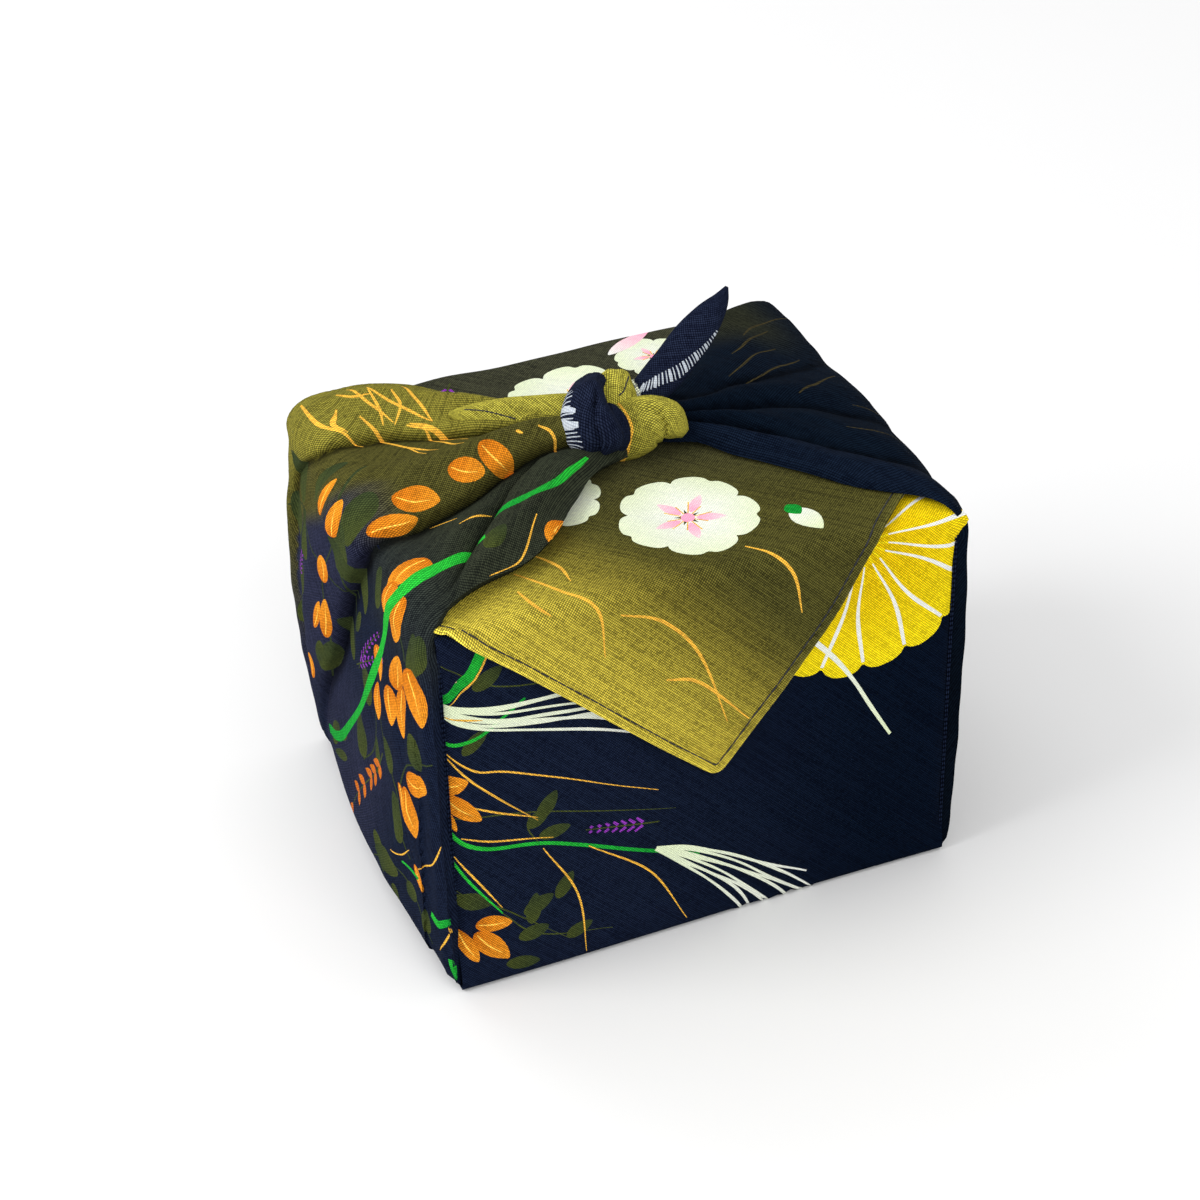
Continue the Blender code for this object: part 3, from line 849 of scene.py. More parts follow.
# Steps of the mesh along the path, fine at the folds and wide under the box
BAND_STEPS = (
    ("near_flap", 4.0), ("near_edge", 0.7), ("front", 3.0), ("front_foot", 0.9), ("base", 12.0),
    ("back_foot", 0.9), ("back", 3.6), ("far_edge", 0.7), ("top", 2.8), ("fold_over", 0.7),
    ("corner", 2.4),
)
# Columns of the mesh: the first ones by their distance from an edge, then even steps
BAND_EDGE_COLUMNS = (0.5, 1.1, 1.8, 2.6, 3.6, 5.0, 7.0)
BAND_EVEN_FROM = 9.5
BAND_EVEN_STEP = 2.9


def band_lines():
    """Levels of the mesh along the path."""
    lines = [spread(PATH.start[name], PATH.end[name], step) for name, step in BAND_STEPS]
    return np.concatenate(lines + [[S_TIP]])


def band_grid(s_lines):
    last = HALF_W - BAND_EVEN_FROM
    edges = np.array(BAND_EDGE_COLUMNS)
    inner = spread(-last, last, BAND_EVEN_STEP)
    columns = np.concatenate([-HALF_W + edges, inner, [last], (HALF_W - edges)[::-1]])
    return np.array([(x, s) for s in s_lines[1:] for x in columns])


def band_ground(points):
    """Ground colour of the middle cloth: navy with painted shade to the right, the far corner
    olive.
    """
    x, s = points[:, 0], points[:, 1]
    # Painted shade: the navy darkens to the right, away from the light
    colour = blend(NAVY, NAVY_DEEP, fade(x, -40, 60))
    colour = blend(colour, OLIVE_BROWN, fade(s, S_BACK + 30, S_TOP + 6))
    colour = blend(colour, OLIVE_DARK, fade(s - 0.12 * x, S_TOP + 30, S_FOLD - 20))
    gold = fade(s - 1.2 * x, S_FOLD - 10, S_FOLD + 85)
    colour = blend(colour, OLIVE_LIGHT, np.where(s > S_TOP, gold, 0))
    # Painted highlight: lighter cloth near the hem's edge, where the turned edge catches the light
    painted_hem_light_and_olive_share = np.where(s > S_HEM, 1 - fade(distance_to(HEM, points), 0.3, 1.5), 0)
    colour = blend(colour, np.minimum(colour * 1.5, 1), painted_hem_light_and_olive_share)
    return np.where((s < S_FRONT)[:, None], NAVY, colour)


# ---------------------------------------------------------------- the sides
# Fold lines, more and finer than the frame's: each row starts with its "up", the distance above
# the top edge of the wall over the cloth; each pair after it is the (y, out) of one fold there.

LEFT_FOLDS = (
    "front_groove", "front_shoulder", "strip", "valley_1b", "roll_1", "valley_1", "roll_2_edge",
    "roll_2", "valley_2", "roll_3_edge", "roll_3", "back_shoulder", "back_groove",
)
LEFT_LEVELS = (
    (-118.3, (-62.5, -1.1), (-63.4, -.7), (-58, -.7), (-48, -.6), (-4, -.5), (54, -.8), (55.5, -.8),
     (57, -.8), (59, -.8), (60, -.8), (61, -.8), (61.7, -.7), (60.8, -1.1)),
    (-115.0, (-62.5, -1), (-64.8, 1.5), (-60, 3.0), (-48, 4.2), (-2, 5.5), (54, 1.6), (55.5, 1.8),
     (58, 2.0), (60, 1.8), (60.6, 1.9), (61.6, 2.0), (63, 1.2), (61, -1)),
    (-108.0, (-62.3, -1), (-65, 2.0), (-60.5, 4.0), (-50, 5.6), (-4, 7.8), (53, 2.2), (54.6, 2.8),
     (57.5, 3.2), (59.8, 2.7), (60.5, 2.9), (61.8, 3.0), (63, 1.6), (61, -1)),
    (-88.0, (-61.6, -1), (-64.2, 2.4), (-60, 4.2), (-52, 5.8), (-16, 7.8), (45, 2.0), (47, 3.8),
     (53, 5.4), (58.5, 4.4), (59.6, 4.8), (61.6, 5.2), (63, 2.8), (61, -1)),
    (-60.0, (-61, -1), (-63.5, 2.6), (-60, 4.4), (-54, 5.2), (-30, 7.4), (25, 1.4), (27, 4.6),
     (41, 7.6), (57.5, 5.4), (58.8, 6.0), (61.4, 6.8), (63, 3.6), (61, -1)),
    (-35.0, (-61, -1), (-63.5, 2.6), (-60, 4.4), (-55, 4.8), (-38, 6.8), (12, .8), (14, 4.2),
     (31, 7.8), (57.5, 4.2), (58.8, 5.2), (61.4, 6.4), (63, 3.8), (61, -1)),
    (-20.0, (-61, -1), (-63.5, 2.4), (-59.5, 4.4), (-55, 4.4), (-42, 6.2), (1, .4), (3, 4.0),
     (22, 7.8), (55.5, 2.6), (57, 3.9), (60, 4.8), (63.2, 3.2), (61, -1)),
    (-8.0, (-61.5, -.8), (-63, 2.2), (-58.5, 4.6), (-54, 4.2), (-43, 5.8), (-9, .6), (-7, 4.0),
     (12, 7.8), (45.5, 1.8), (47.2, 3.6), (56, 4.8), (62.6, 3.2), (61.5, -.6)),
    (0.0, (-60, .8), (-60.5, 3.0), (-58, 4.6), (-54.5, 4.8), (-40, 6.2), (-14, 1.4), (-12, 4.6),
     (7, 8.0), (35, 2.2), (36.8, 4.4), (51, 6.2), (60.6, 4.4), (62.6, .8)),
    (8.0, (-52.6, 2.3), (-54.2, 4.4), (-52, 5.8), (-50.5, 5.2), (-34, 7.2), (-18, 2.2), (-16, 5.8),
     (1, 9.4), (31, 3.0), (32.8, 5.8), (49, 8.8), (57.6, 6.4), (61.0, 2.3)),
    (18.0, (-46.6, 2.3), (-49.4, 5.0), (-44.5, 7.4), (-38.5, 4.2), (-28, 7.4), (-14, 2.2),
     (-12, 6.2), (2.5, 10.0), (29, 3.4), (30.8, 6.4), (47.5, 9.8), (55.5, 7.4), (58.6, 2.3)),
    (30.0, (-42.4, 2.3), (-45.8, 5.0), (-34.5, 9.2), (-24.6, 3.4), (-16, 6.8), (-9, 2.6),
     (-7.4, 6.8), (4, 11.0), (22, 4.4), (23.8, 7.2), (41.5, 10.2), (50, 7.4), (52.8, 2.4)),
    (42.0, (-34.2, 2.3), (-37.2, 5.0), (-23, 9.8), (-10.4, 3.6), (-5.6, 5.4), (-2, 3.6), (-.6, 7.8),
     (7, 11.8), (17, 6.2), (18.2, 8.4), (32.5, 10.6), (40.2, 7), (42.6, 2.4)),
    (54.0, (-20.2, 2.6), (-22.4, 5.0), (-12, 9.4), (-1.9, 4.8), (.3, 5.8), (1.5, 5.2), (2.8, 8.8),
     (8, 12.4), (13.5, 8.0), (14.6, 9.6), (22.5, 11.0), (29, 7.6), (31.5, 3)),
    (65.0, (-9.0, 3.4), (-10.8, 4.6), (-6.8, 7.4), (-.6, 5.6), (.8, 6.2), (2, 6.0), (3, 9.4),
     (6, 12.2), (9, 9.8), (10, 10.4), (15, 11.2), (19, 8.0), (21, 5)),
    (76.0, (-5.4, 3.8), (-5.2, 4.6), (-3, 6.4), (-.2, 6.0), (.9, 6.6), (2, 7.0), (3, 9.6),
     (4, 11.0), (6, 10.4), (7, 10.7), (9, 11.0), (11.5, 9.0), (13, 7)),
)

RIGHT_FOLDS = (
    "front_groove", "front_shoulder", "pleat_1", "valley_1", "pleat_2", "valley_2", "pleat_3",
    "valley_3", "flat", "back_shoulder", "back_groove",
)
RIGHT_LEVELS = (
    (-118.3, (-60.8, -1.1), (-61.7, -.7), (-50, -.6), (-5, -.6), (20, -.6), (40, -.7),
     (51, -.8), (57, -.8), (59, -.8), (61.7, -.7), (60.8, -1.1)),
    (-115.0, (-61, -1), (-62, 1.6), (-50, 3.2), (-5, 2.4), (20, 3.2), (40, 2.2),
     (51, 2.4), (57, 1.8), (60, 1.8), (63, 1.2), (61, -1)),
    (-108.0, (-61, -1), (-62, 2.4), (-50, 4.6), (-7, 3.2), (17, 4.6), (37, 3.2),
     (49, 3.8), (57, 2.4), (60, 2.6), (63, 1.6), (61, -1)),
    (-88.0, (-61, -1), (-62, 3.0), (-51, 5.4), (-14, 3.4), (8, 5.6), (28, 3.6),
     (44, 5.0), (56, 2.8), (60, 3.2), (63, 2.2), (61, -1)),
    (-60.0, (-61, -1), (-62, 3.4), (-51, 6.0), (-24, 3.6), (-6, 5.8), (13, 3.6),
     (32, 5.4), (52, 3.0), (59, 4.0), (63, 3.0), (61, -1)),
    (-30.0, (-61, -1), (-62, 3.4), (-52, 5.6), (-34, 3.4), (-18, 5.2), (0, 3.2),
     (22, 4.8), (52, 2.6), (59, 3.6), (63, 2.6), (61, -1)),
    (-10.0, (-61.5, -1), (-62.4, 2.4), (-54, 4.2), (-43, 2.6), (-30, 4.0), (-8, 2.6),
     (18, 3.8), (55, 1.8), (60, 2.4), (62.6, 1.8), (61.6, -.8)),
    (0.0, (-62, .6), (-60.8, 2.2), (-55, 3.4), (-44, 2.2), (-32, 3.8), (-18, 2.4),
     (-2, 3.4), (22, 1.9), (50, 2.2), (61, 2.2), (62.5, .8)),
    (8.0, (-54, 2.3), (-52.6, 3.6), (-47, 5.0), (-38, 2.8), (-24, 5.8), (-13, 3.2),
     (4, 5.2), (18, 2.7), (45, 3.4), (60.4, 2.9), (62.2, 2.3)),
    (20.0, (-44, 2.3), (-42.6, 3.8), (-36, 5.8), (-27, 3.0), (-11, 6.8), (-1.5, 3.6),
     (8, 6.8), (17, 3.4), (38, 4.4), (57.6, 3.1), (59.6, 2.3)),
    (34.0, (-27.4, 2.3), (-26, 4), (-20, 6.4), (-12.5, 3.8), (-4.5, 7.8), (2.4, 4.4),
     (10, 8.2), (16, 4.6), (30, 5.4), (44, 3.4), (46, 2.3)),
    (44.0, (-15.6, 2.3), (-14, 4), (-10, 7.0), (-4.5, 4.8), (-.5, 8.4), (3.2, 5.6),
     (7.5, 9.0), (11, 6.0), (20, 7.0), (32, 4), (33.8, 2.4)),
    (54.0, (-4.4, 2.8), (-3.4, 5), (-2, 7.6), (0, 6.2), (2, 8.8), (4, 6.6),
     (7, 9.6), (10, 7.4), (15, 8.6), (23.6, 5), (25, 3)),
    (66.0, (-1, 4.5), (.3, 6), (2, 9.0), (5, 8.0), (7.5, 10), (9, 8.8),
     (10.5, 9.4), (12, 8.4), (13, 8), (14, 7), (15, 5)),
)

# How far a roll leans over the valley in front of it, by the step in height between the two
LEAN_OVER = {"left": {"valley_1": 0.45, "valley_1b": 0.3, "valley_2": 0.5},
             "right": {"valley_1": 0.2, "valley_2": 0.2}}
# How far a side's front edge is turned under and in: above the box's edge, and on the wall
UNDER_ABOVE, IN_ABOVE = 2.6, 0.95
UNDER_WALL, IN_WALL = 0.3, 0.2
# How much lower that edge lies above the box's edge
EDGE_LOWER = 0.8


def side_base(up):
    """Distance from the middle plane, height and outward direction of a side at each "up"."""
    up = np.asarray(up, float)
    turn = np.clip((up + SIDE_EDGE_R) / (2 * SIDE_EDGE_R), 0, 1) * math.pi / 2
    across = HALF_W - SIDE_EDGE_R + SIDE_EDGE_R * np.cos(turn) - np.maximum(up - SIDE_EDGE_R, 0)
    height = PARCEL_H - SIDE_EDGE_R + SIDE_EDGE_R * np.sin(turn) + np.minimum(up + SIDE_EDGE_R, 0)
    return across, height, np.cos(turn), np.sin(turn)


def between(table, i, f):
    """Rows read between those of a table."""
    return table[i] * (1 - f)[:, None] + table[i + 1] * f[:, None]


class SideCloth:
    """A side of the cloth. Places on it are (w, up): w is the distance over the folds from one
    fold line, growing to the back."""

    STEP_UP = 1.5
    PER_FOLD = 14

    def __init__(self, name, sign, folds, levels, home):
        self.sign = sign
        self.ups = np.arange(levels[0][0], levels[-1][0] + 0.01, self.STEP_UP)
        self.ups[-1] = levels[-1][0]
        keys = [row[0] for row in levels]
        lines = smooth(keys, [row[1:] for row in levels], self.ups)
        lines = self.leaning(lines, folds, LEAN_OVER[name])
        under = lines[:, :1].copy()
        above = fade(self.ups, 0, 8)
        under[:, 0, 0] += UNDER_ABOVE * above + UNDER_WALL * (1 - above)
        under[:, 0, 1] -= IN_ABOVE * above + IN_WALL * (1 - above)
        lines[:, 0, 1] -= EDGE_LOWER * above
        lines = np.concatenate([under, lines], axis=1)
        self.folds = ("under",) + tuple(folds)
        self.y, self.out = self.profiles(lines)
        steps = np.hypot(np.diff(self.y, axis=1), np.diff(self.out, axis=1))
        travel = np.concatenate([np.zeros((len(self.ups), 1)), np.cumsum(steps, axis=1)], axis=1)
        column = self.folds.index(home) * self.PER_FOLD
        self.w = travel - travel[:, column : column + 1]
        self.relief = []

    def leaning(self, lines, folds, lean):
        """The fold lines, with each valley moved under the roll that leans over it."""
        lines = lines.copy()
        wall = fade(self.ups, -116, -100)
        for fold, amount in lean.items():
            k = folds.index(fold)
            step = np.maximum(lines[:, k + 1, 1] - lines[:, k, 1], 0) * wall
            lines[:, k + 1, 0] -= amount * step
        return lines

    def profiles(self, lines):
        """Dense y and out across the folds: sharp in the valleys, round on the ridges."""
        ys, outs = [], []
        count = lines.shape[1]
        for k in range(count - 1):
            first, last = lines[:, k], lines[:, k + 1]
            for step in range(self.PER_FOLD):
                place = step / self.PER_FOLD
                ys.append(first[:, 0] + (last[:, 0] - first[:, 0]) * self.run(k, place))
                outs.append(first[:, 1] + (last[:, 1] - first[:, 1]) * self.rise(k, place))
        ys.append(lines[:, -1, 0])
        outs.append(lines[:, -1, 1])
        return np.array(ys).T, np.array(outs).T

    def is_valley(self, k):
        return self.folds[k].startswith(("valley", "front_groove", "back_groove", "under"))

    def run(self, k, place):
        """Share of the way in y from one fold line to the next."""
        if self.folds[k].endswith("_edge"):
            return 1 - math.cos(math.pi / 2 * place)
        if self.folds[k] == "strip":
            return place + 0.42 * math.sin(math.pi * place)
        return place

    def rise(self, k, place):
        """Share of the way outward from one fold line to the next."""
        if self.folds[k].endswith("_edge"):
            return math.sin(math.pi / 2 * place)
        if self.folds[k + 1].endswith("_edge"):
            return place
        if self.is_valley(k) and not self.is_valley(k + 1):
            return math.sin(math.pi / 2 * place) ** 1.1
        if self.is_valley(k + 1) and not self.is_valley(k):
            return 1 - math.sin(math.pi / 2 * (1 - place)) ** 1.1
        return (1 - math.cos(math.pi * place)) / 2

    def rows(self, up):
        """Index of the level below each "up" and the share of the way to the next."""
        i = np.clip(np.searchsorted(self.ups, up, side="right") - 1, 0, len(self.ups) - 2)
        return i, (up - self.ups[i]) / (self.ups[i + 1] - self.ups[i])

    def profile_at(self, points):
        """y and out of places on the cloth, before the small relief."""
        i, f = self.rows(points[:, 1])
        w = between(self.w, i, f)
        y = between(self.y, i, f)
        out = between(self.out, i, f)
        column = np.clip((w <= points[:, :1]).sum(axis=1) - 1, 0, w.shape[1] - 2)
        row = np.arange(len(points))
        w0, w1 = w[row, column], w[row, column + 1]
        share = np.clip((points[:, 0] - w0) / np.maximum(w1 - w0, 1e-6), 0, 1)
        return (
            y[row, column] + (y[row, column + 1] - y[row, column]) * share,
            out[row, column] + (out[row, column + 1] - out[row, column]) * share,
        )

    def place(self, y, up):
        """The outermost place on the cloth with this y at this level."""
        i, f = self.rows(np.array([up]))
        w = between(self.w, i, f)[0]
        ys = between(self.y, i, f)[0]
        out = between(self.out, i, f)[0]
        cost = np.abs(ys - y) - 0.15 * out
        return np.array([w[np.argmin(cost)], up])

    def fold_line(self, name):
        """A fold line as places on the cloth."""
        column = self.folds.index(name) * self.PER_FOLD
        return np.stack([self.w[:, column], self.ups], axis=1)

    def outline(self):
        low, high = self.w[:, 0], self.w[:, -1]
        left = np.stack([low, self.ups], axis=1)[::-1]
        right = np.stack([high, self.ups], axis=1)
        return np.vstack([right, left])

    def grid(self, step):
        points = []
        for up in np.arange(self.ups[0] + step * 0.6, self.ups[-1], step):
            i, f = self.rows(np.array([up]))
            w = between(self.w, i, f)[0]
            shift = 0.25 * step * (-1) ** len(points)
            inner = np.arange(w[0] + step * 0.5 + shift, w[-1] - step * 0.4, step)
            points.append(np.stack([inner, np.full(len(inner), up)], axis=1))
        return np.vstack(points)

    def locate(self, points):
        """Places in space of places on the cloth."""
        y, out = self.profile_at(points)
        for first, last, height, half_width in self.relief:
            out = out + soft_line(points, self.place(*first), self.place(*last), height, half_width)
        out = out + self.small_relief(points)
        across, height, out_x, out_z = side_base(points[:, 1])
        return np.stack([self.sign * (across + out * out_x), y, height + out * out_z], axis=1)

    def small_relief(self, points):
        w, up = points[:, 0], points[:, 1]
        calm = fade(up, -112, -100) * fade(76 - up, 0, 14)
        wave = np.sin(w / 4.3 + up / 17 + 1.3) * 0.14 + np.sin(w / 7.7 - up / 11 + 0.4) * 0.18
        return calm * (wave + 0.1 * np.sin(w / 2.4 + up / 6.1))


LEFT = SideCloth("left", -1, LEFT_FOLDS, LEFT_LEVELS, "valley_1")
RIGHT = SideCloth("right", 1, RIGHT_FOLDS, RIGHT_LEVELS, "valley_2")

# Soft ridges and troughs inside the folds: ends (y, up), height, half width
LEFT.relief = (
    ((-44, 20), (-18, 52), 0.7, 2.4), ((-30, 16), (-16, 34), 0.6, 2.4),
    ((-46, -8), (-48, -60), -1.0, 4.0), ((-56, -30), (-34, -96), 0.9, 5.0),
    ((-28, -20), (-6, -90), -1.0, 6.0), ((10, -8), (48, -60), 0.8, 5.0),
    ((24, 0), (56, -40), -0.9, 4.0), ((-10, 22), (12, -18), -0.8, 4.0),
    ((0, 12), (8, 60), 0.8, 3.0), ((14, 6), (12, 52), -0.8, 3.2), ((36, 10), (20, 58), -0.9, 3.0),
    ((-50, -70), (-20, -112), 0.8, 6.0), ((10, -60), (40, -104), 0.8, 6.0),
    ((-17, 26), (-6, 46), -1.2, 3.0),
)
RIGHT.relief = (
    ((-44, 10), (-4, 54), 0.8, 2.4), ((-28, 12), (6, 50), -0.8, 2.4),
    ((6, 12), (16, 54), -0.7, 2.6), ((24, 8), (20, 50), 0.6, 2.6), ((36, 6), (24, 46), 0.5, 2.6),
    ((50, 6), (30, 40), -0.4, 2.6), ((-52, -10), (-40, -90), 0.8, 6.0),
    ((-20, -20), (0, -96), -0.8, 7.0), ((20, -14), (40, -90), 0.8, 8.0),
    ((-20, 0), (60, 0), 1.2, 6.0), ((44, 1), (61, 1), 0.9, 5.0),
)


# ---------------------------------------------------------------- the knot

# Strands, more and finer than the frame's: the way the width points, then rows of centre x, y, z,
# half width and half thickness. Creases: (share of the length, degrees round the strand) at both
# ends, depth as a share of the thickness and half width in degrees. Cup: how far the long edges
# curl. Girth: the cloth round the strand.

# The step of a strand's mesh, and how near a point lies to a seam or an end that it is on
STRAND_STEP = 1.05
SEAM_TOLERANCE = 1e-3


class Strand:
    """A strand of the knot. Places on it are (u, v): u is the distance round it, v along it."""

    SAMPLES = 60
    AROUND = 41
    ALONG = 33

    def __init__(self, across, rows, creases=(), cup=0.0, girth=44.0):
        rows = np.array(rows, float)
        dense = smooth(np.arange(len(rows)), rows, np.linspace(0, len(rows) - 1, self.SAMPLES))
        self.centre = dense[:, :3]
        self.half_width = dense[:, 3]
        self.half_thick = dense[:, 4]
        self.travel = travelled(self.centre)
        self.length = self.travel[-1]
        self.girth = girth
        self.creases = creases
        self.cup = cup
        ahead = np.gradient(self.centre, axis=0)
        ahead /= np.linalg.norm(ahead, axis=1)[:, None]
        side = np.array(across, float)
        sides = []
        for way in ahead:
            side = side - way * (side @ way)
            side /= np.linalg.norm(side)
            sides.append(side)
        self.side = np.array(sides)
        self.up = np.cross(ahead, self.side)

    def read(self, table, v):
        if table.ndim == 1:
            return np.interp(v, self.travel, table)
        return np.stack([np.interp(v, self.travel, column) for column in table.T], axis=1)

    def place(self, share, degrees):
        """The place on the strand at a share of its length and an angle round it."""
        return np.array([(degrees % 360) / 360 * self.girth, share * self.length])

    def outline(self):
        around = np.linspace(0, self.girth, self.AROUND)
        along = np.linspace(0, self.length, self.ALONG)
        low = np.stack([around, np.zeros(self.AROUND)], axis=1)
        high = np.stack([around[::-1], np.full(self.AROUND, self.length)], axis=1)
        right = np.stack([np.full(self.ALONG, self.girth), along], axis=1)[1:-1]
        left = np.stack([np.zeros(self.ALONG), along[::-1]], axis=1)[1:-1]
        return np.vstack([low, right, high, left])

    def grid(self, step):
        rows = np.arange(step * 0.7, self.length - step * 0.4, step)
        columns = np.arange(step * 0.7, self.girth - step * 0.4, step)
        return np.array([(u, v) for v in rows for u in columns])

    def locate(self, points):
        """Places in space of places on the strand."""
        turn = 2 * math.pi * points[:, 0] / self.girth
        v = points[:, 1]
        share = v / self.length
        swell = np.ones(len(points))
        for (s0, a0), (s1, a1), depth, half in self.creases:
            part = np.clip((share - s0) / (s1 - s0), 0, 1)
            centre = np.radians(a0 + (a1 - a0) * part)
            gap = np.abs((turn - centre + math.pi) % (2 * math.pi) - math.pi)
            ends = fade(share, s0 - 0.12, s0 + 0.05) * (1 - fade(share, s1 - 0.05, s1 + 0.12))
            swell -= depth * ends * np.exp(-((gap / math.radians(half)) ** 2))
        wide = np.cos(turn)
        thick = np.sin(turn)
        half_width = self.read(self.half_width, v)
        half_thick = self.read(self.half_thick, v)
        curl = self.cup * half_width * (np.abs(wide) ** 1.6 - 0.4)
        return (
            self.read(self.centre, v)
            + self.read(self.side, v) * (wide * half_width * swell ** 0.5)[:, None]
            + self.read(self.up, v) * (thick * half_thick * swell + curl)[:, None]
        )


STRANDS = {
    "legs": Strand((0, 1, 0), (
        (-16, 6, 125, 4, 3), (-8, 7, 127, 6, 4.6), (3, 7, 127.5, 7, 5), (18, 7, 125.5, 6.5, 4))),
    "dark_loop": Strand((1, 0, 0), (
        (2, 14, 126, 6, 4), (-.8, 15, 130.5, 6.4, 4.5), (-4.4, 12, 133.8, 7.2, 4.6),
        (-7.6, 6.5, 134, 8.8, 5), (-8.7, 1.8, 131.8, 10.4, 5.2), (-7.7, -1.8, 128.5, 10.6, 4.8),
        (-5.9, -2.6, 124.8, 8.2, 3.6)),
        creases=(((0.62, 6), (0.95, 74), 0.5, 9), ((0.3, 56), (0.72, 74), 0.1, 8),
                 ((0.25, 30), (0.6, 44), 0.08, 8), ((0.4, 140), (0.98, 136), 0.14, 8))),
    "dark_return": Strand((1, 0, 0), (
        (-1, 9, 128, 3.4, 3.4), (-.6, 4, 130.3, 3.6, 4), (-.2, -.4, 129.2, 3.6, 4.2),
        (-.8, -2.4, 126.2, 3.6, 3.4), (-2.2, -1.6, 123.8, 3.4, 2.6))),
    "light_loop": Strand((.23, .52, .82), (
        (-3.6, 3, 126, 4.4, 3), (-.4, 2, 125.8, 8.2, 4.6), (3.7, 1, 126.8, 8.6, 4.8),
        (7.2, .5, 127.8, 8.1, 4.5), (10.8, -.5, 129, 6.9, 4.2), (14.2, -1.5, 128.6, 6.0, 3.6),
        (16.8, -3, 126.6, 4.2, 2.8), (18.7, -4.5, 124.8, 1.6, 1.4)),
        creases=(((0.62, 66), (0.84, 160), 0.5, 9), ((0.42, 30), (0.6, 96), 0.14, 9),
                 ((0.3, 124), (0.62, 134), 0.12, 10))),
    "light_band": Strand((1, 0, 0), (
        (4, 4, 129, 4.6, 3), (3.2, 8, 133, 6.2, 3.6), (1.8, 13, 134.4, 8.2, 3.8),
        (1.4, 17, 131.6, 8.4, 4), (1.4, 18, 125, 6.4, 3)),
        creases=(((0.3, 260), (0.62, 286), 0.34, 8), ((0.2, 306), (0.6, 318), 0.12, 9))),
    "light_tip": Strand((0, .8, .6), (
        (-5, 13, 129.4, 4.2, 3.0), (-13, 15, 129.6, 4.6, 2.4), (-23, 18.5, 129.3, 4.6, 1.8),
        (-31, 21.5, 129, 3.8, 1.5), (-37, 24, 128.8, 2.4, 1.2), (-40.5, 25.6, 128.8, .8, .8)),
        creases=(((0.3, 236), (0.52, 262), 0.6, 17), ((0.05, 290), (0.5, 300), 0.2, 14)),
        girth=26.0),
    "dark_tip": Strand((.6, -.6, -.5), (
        (7, 12, 127.5, 3.6, 2.4), (13, 10.6, 131, 5, 2.0), (20, 10.8, 137, 5.6, 1.6),
        (27, 12.2, 143.5, 5.5, 1.4), (33, 13.2, 149, 4.5, 1.2), (37.6, 14, 153.6, 2.4, 1.0),
        (39.6, 14.4, 157.0, .5, .6)),
        cup=0.12, girth=28.0),
    "pale_bit": Strand((1, 0, 0), (
        (9, 8.6, 128, 2.2, 1.8), (10.4, 11, 130.8, 2.8, 2.2), (11.8, 13.4, 132.2, 2.8, 2.2),
        (12.6, 16, 128, 2.4, 2)),
        girth=16.0),
}

LIGHT_STRANDS = {
    "light_loop": OLIVE, "light_band": OLIVE_GOLD, "light_tip": OLIVE_GOLD, "pale_bit": WEFT_GREY,
}


def strand_ground(name):
    """The function that gives a strand's ground colours: navy, or one end of the olive corner."""
    plain = LIGHT_STRANDS.get(name, blend(NAVY, NAVY_SOFT, 0.3))

    def ground(points):
        colour = np.tile(plain, (len(points), 1))
        if name == "light_loop":
            share = points[:, 1] / STRANDS[name].length
            return blend(colour, OLIVE_GOLD, fade(share, 0.1, 0.6))
        return colour

    return ground


def strand_line(strand, start, end, width):
    """A white line between two places on a strand, each a share of its length and an angle."""
    first, last = strand.place(*start), strand.place(*end)
    return ribbon([first, (first + last) / 2, last], (width, width * 1.1, width * 0.7),
                  STRIPE_WHITE, samples=2)


# White weft lines across the dark loop, and the wide bars: (share of the length, angle) at the
# edge and inside, with the width
LOOP_LINES = 17
LOOP_BARS = (((0.53, 130), (0.67, 72), 1.3), ((0.65, 130), (0.76, 76), 1.6))
# A gold stem on the light loop, as (share of the length, angle)
LOOP_GOLD = (
    (0.29, 24), (0.335, 62), (0.34, 90), (0.30, 108), (0.25, 126), (0.18, 154), (0.15, 184),
)
# White weft lines of the dark tip: shares of the length and angles, along its edge and inside
TIP_LINES = 26
TIP_EDGE = ((0.13, 0.28, 0.37, 0.54, 0.74), (256, 290, 318, 344, 358))
TIP_INSIDE = ((0.20, 0.31, 0.44, 0.60, 0.74), (244, 260, 286, 312, 330))
TIP_WIDTHS = (0.8, 0.3, 0.4, 0.3)


def strand_shapes(name):
    """The print of a strand."""
    strand = STRANDS[name]
    shapes = []
    if name == "dark_loop":
        for k in range(LOOP_LINES):
            share = 0.42 + 0.48 * k / LOOP_LINES
            inside = 72 + 24 * k / LOOP_LINES + 3 * math.sin(5.0 * k)
            shapes += strand_line(strand, (share, 132), (share + 0.09, inside), 0.3)
        for start, end, width in LOOP_BARS:
            shapes += strand_line(strand, start, end, width)
    if name == "dark_tip":
        for k in range(TIP_LINES):
            place = k / (TIP_LINES - 1)
            ends = []
            for shares, angles in (TIP_EDGE, TIP_INSIDE):
                share = shares[0] + (shares[-1] - shares[0]) * place
                ends.append((share, np.interp(share, shares, angles)))
            shapes += strand_line(strand, ends[0], ends[1], TIP_WIDTHS[k % 4])
    if name == "light_loop":
        points = [strand.place(share, angle) for share, angle in LOOP_GOLD]
        shapes += ribbon(points, (0.5, 0.8, 0.5, 0.8, 0.7), GOLD_LINE)
    return shapes


# ---------------------------------------------------------------- print of each panel, and ground colours with painted shade


def leaves_at(foot, angles, length, width):
    """Orange leaves that part from one place."""
    shapes = []
    for angle in angles:
        shapes += orange_leaf(foot + heading(angle) * 1.2, angle, length, width)
    return shapes


def gold_arc(points, width, colour=GOLD_LINE):
    """A thin curved stroke, fine at its ends."""
    return ribbon(points, (width * 0.5, width, width * 0.9, width * 0.3), colour)


# The next three print a table on one part of the cloth; place gives its places on the flat.


def gold_arcs(place, table, width, colour=GOLD_LINE):
    """Arcs, from rows of points."""
    shapes = []
    for points in table:
        shapes += gold_arc([place(*q) for q in points], width, colour)
    return shapes


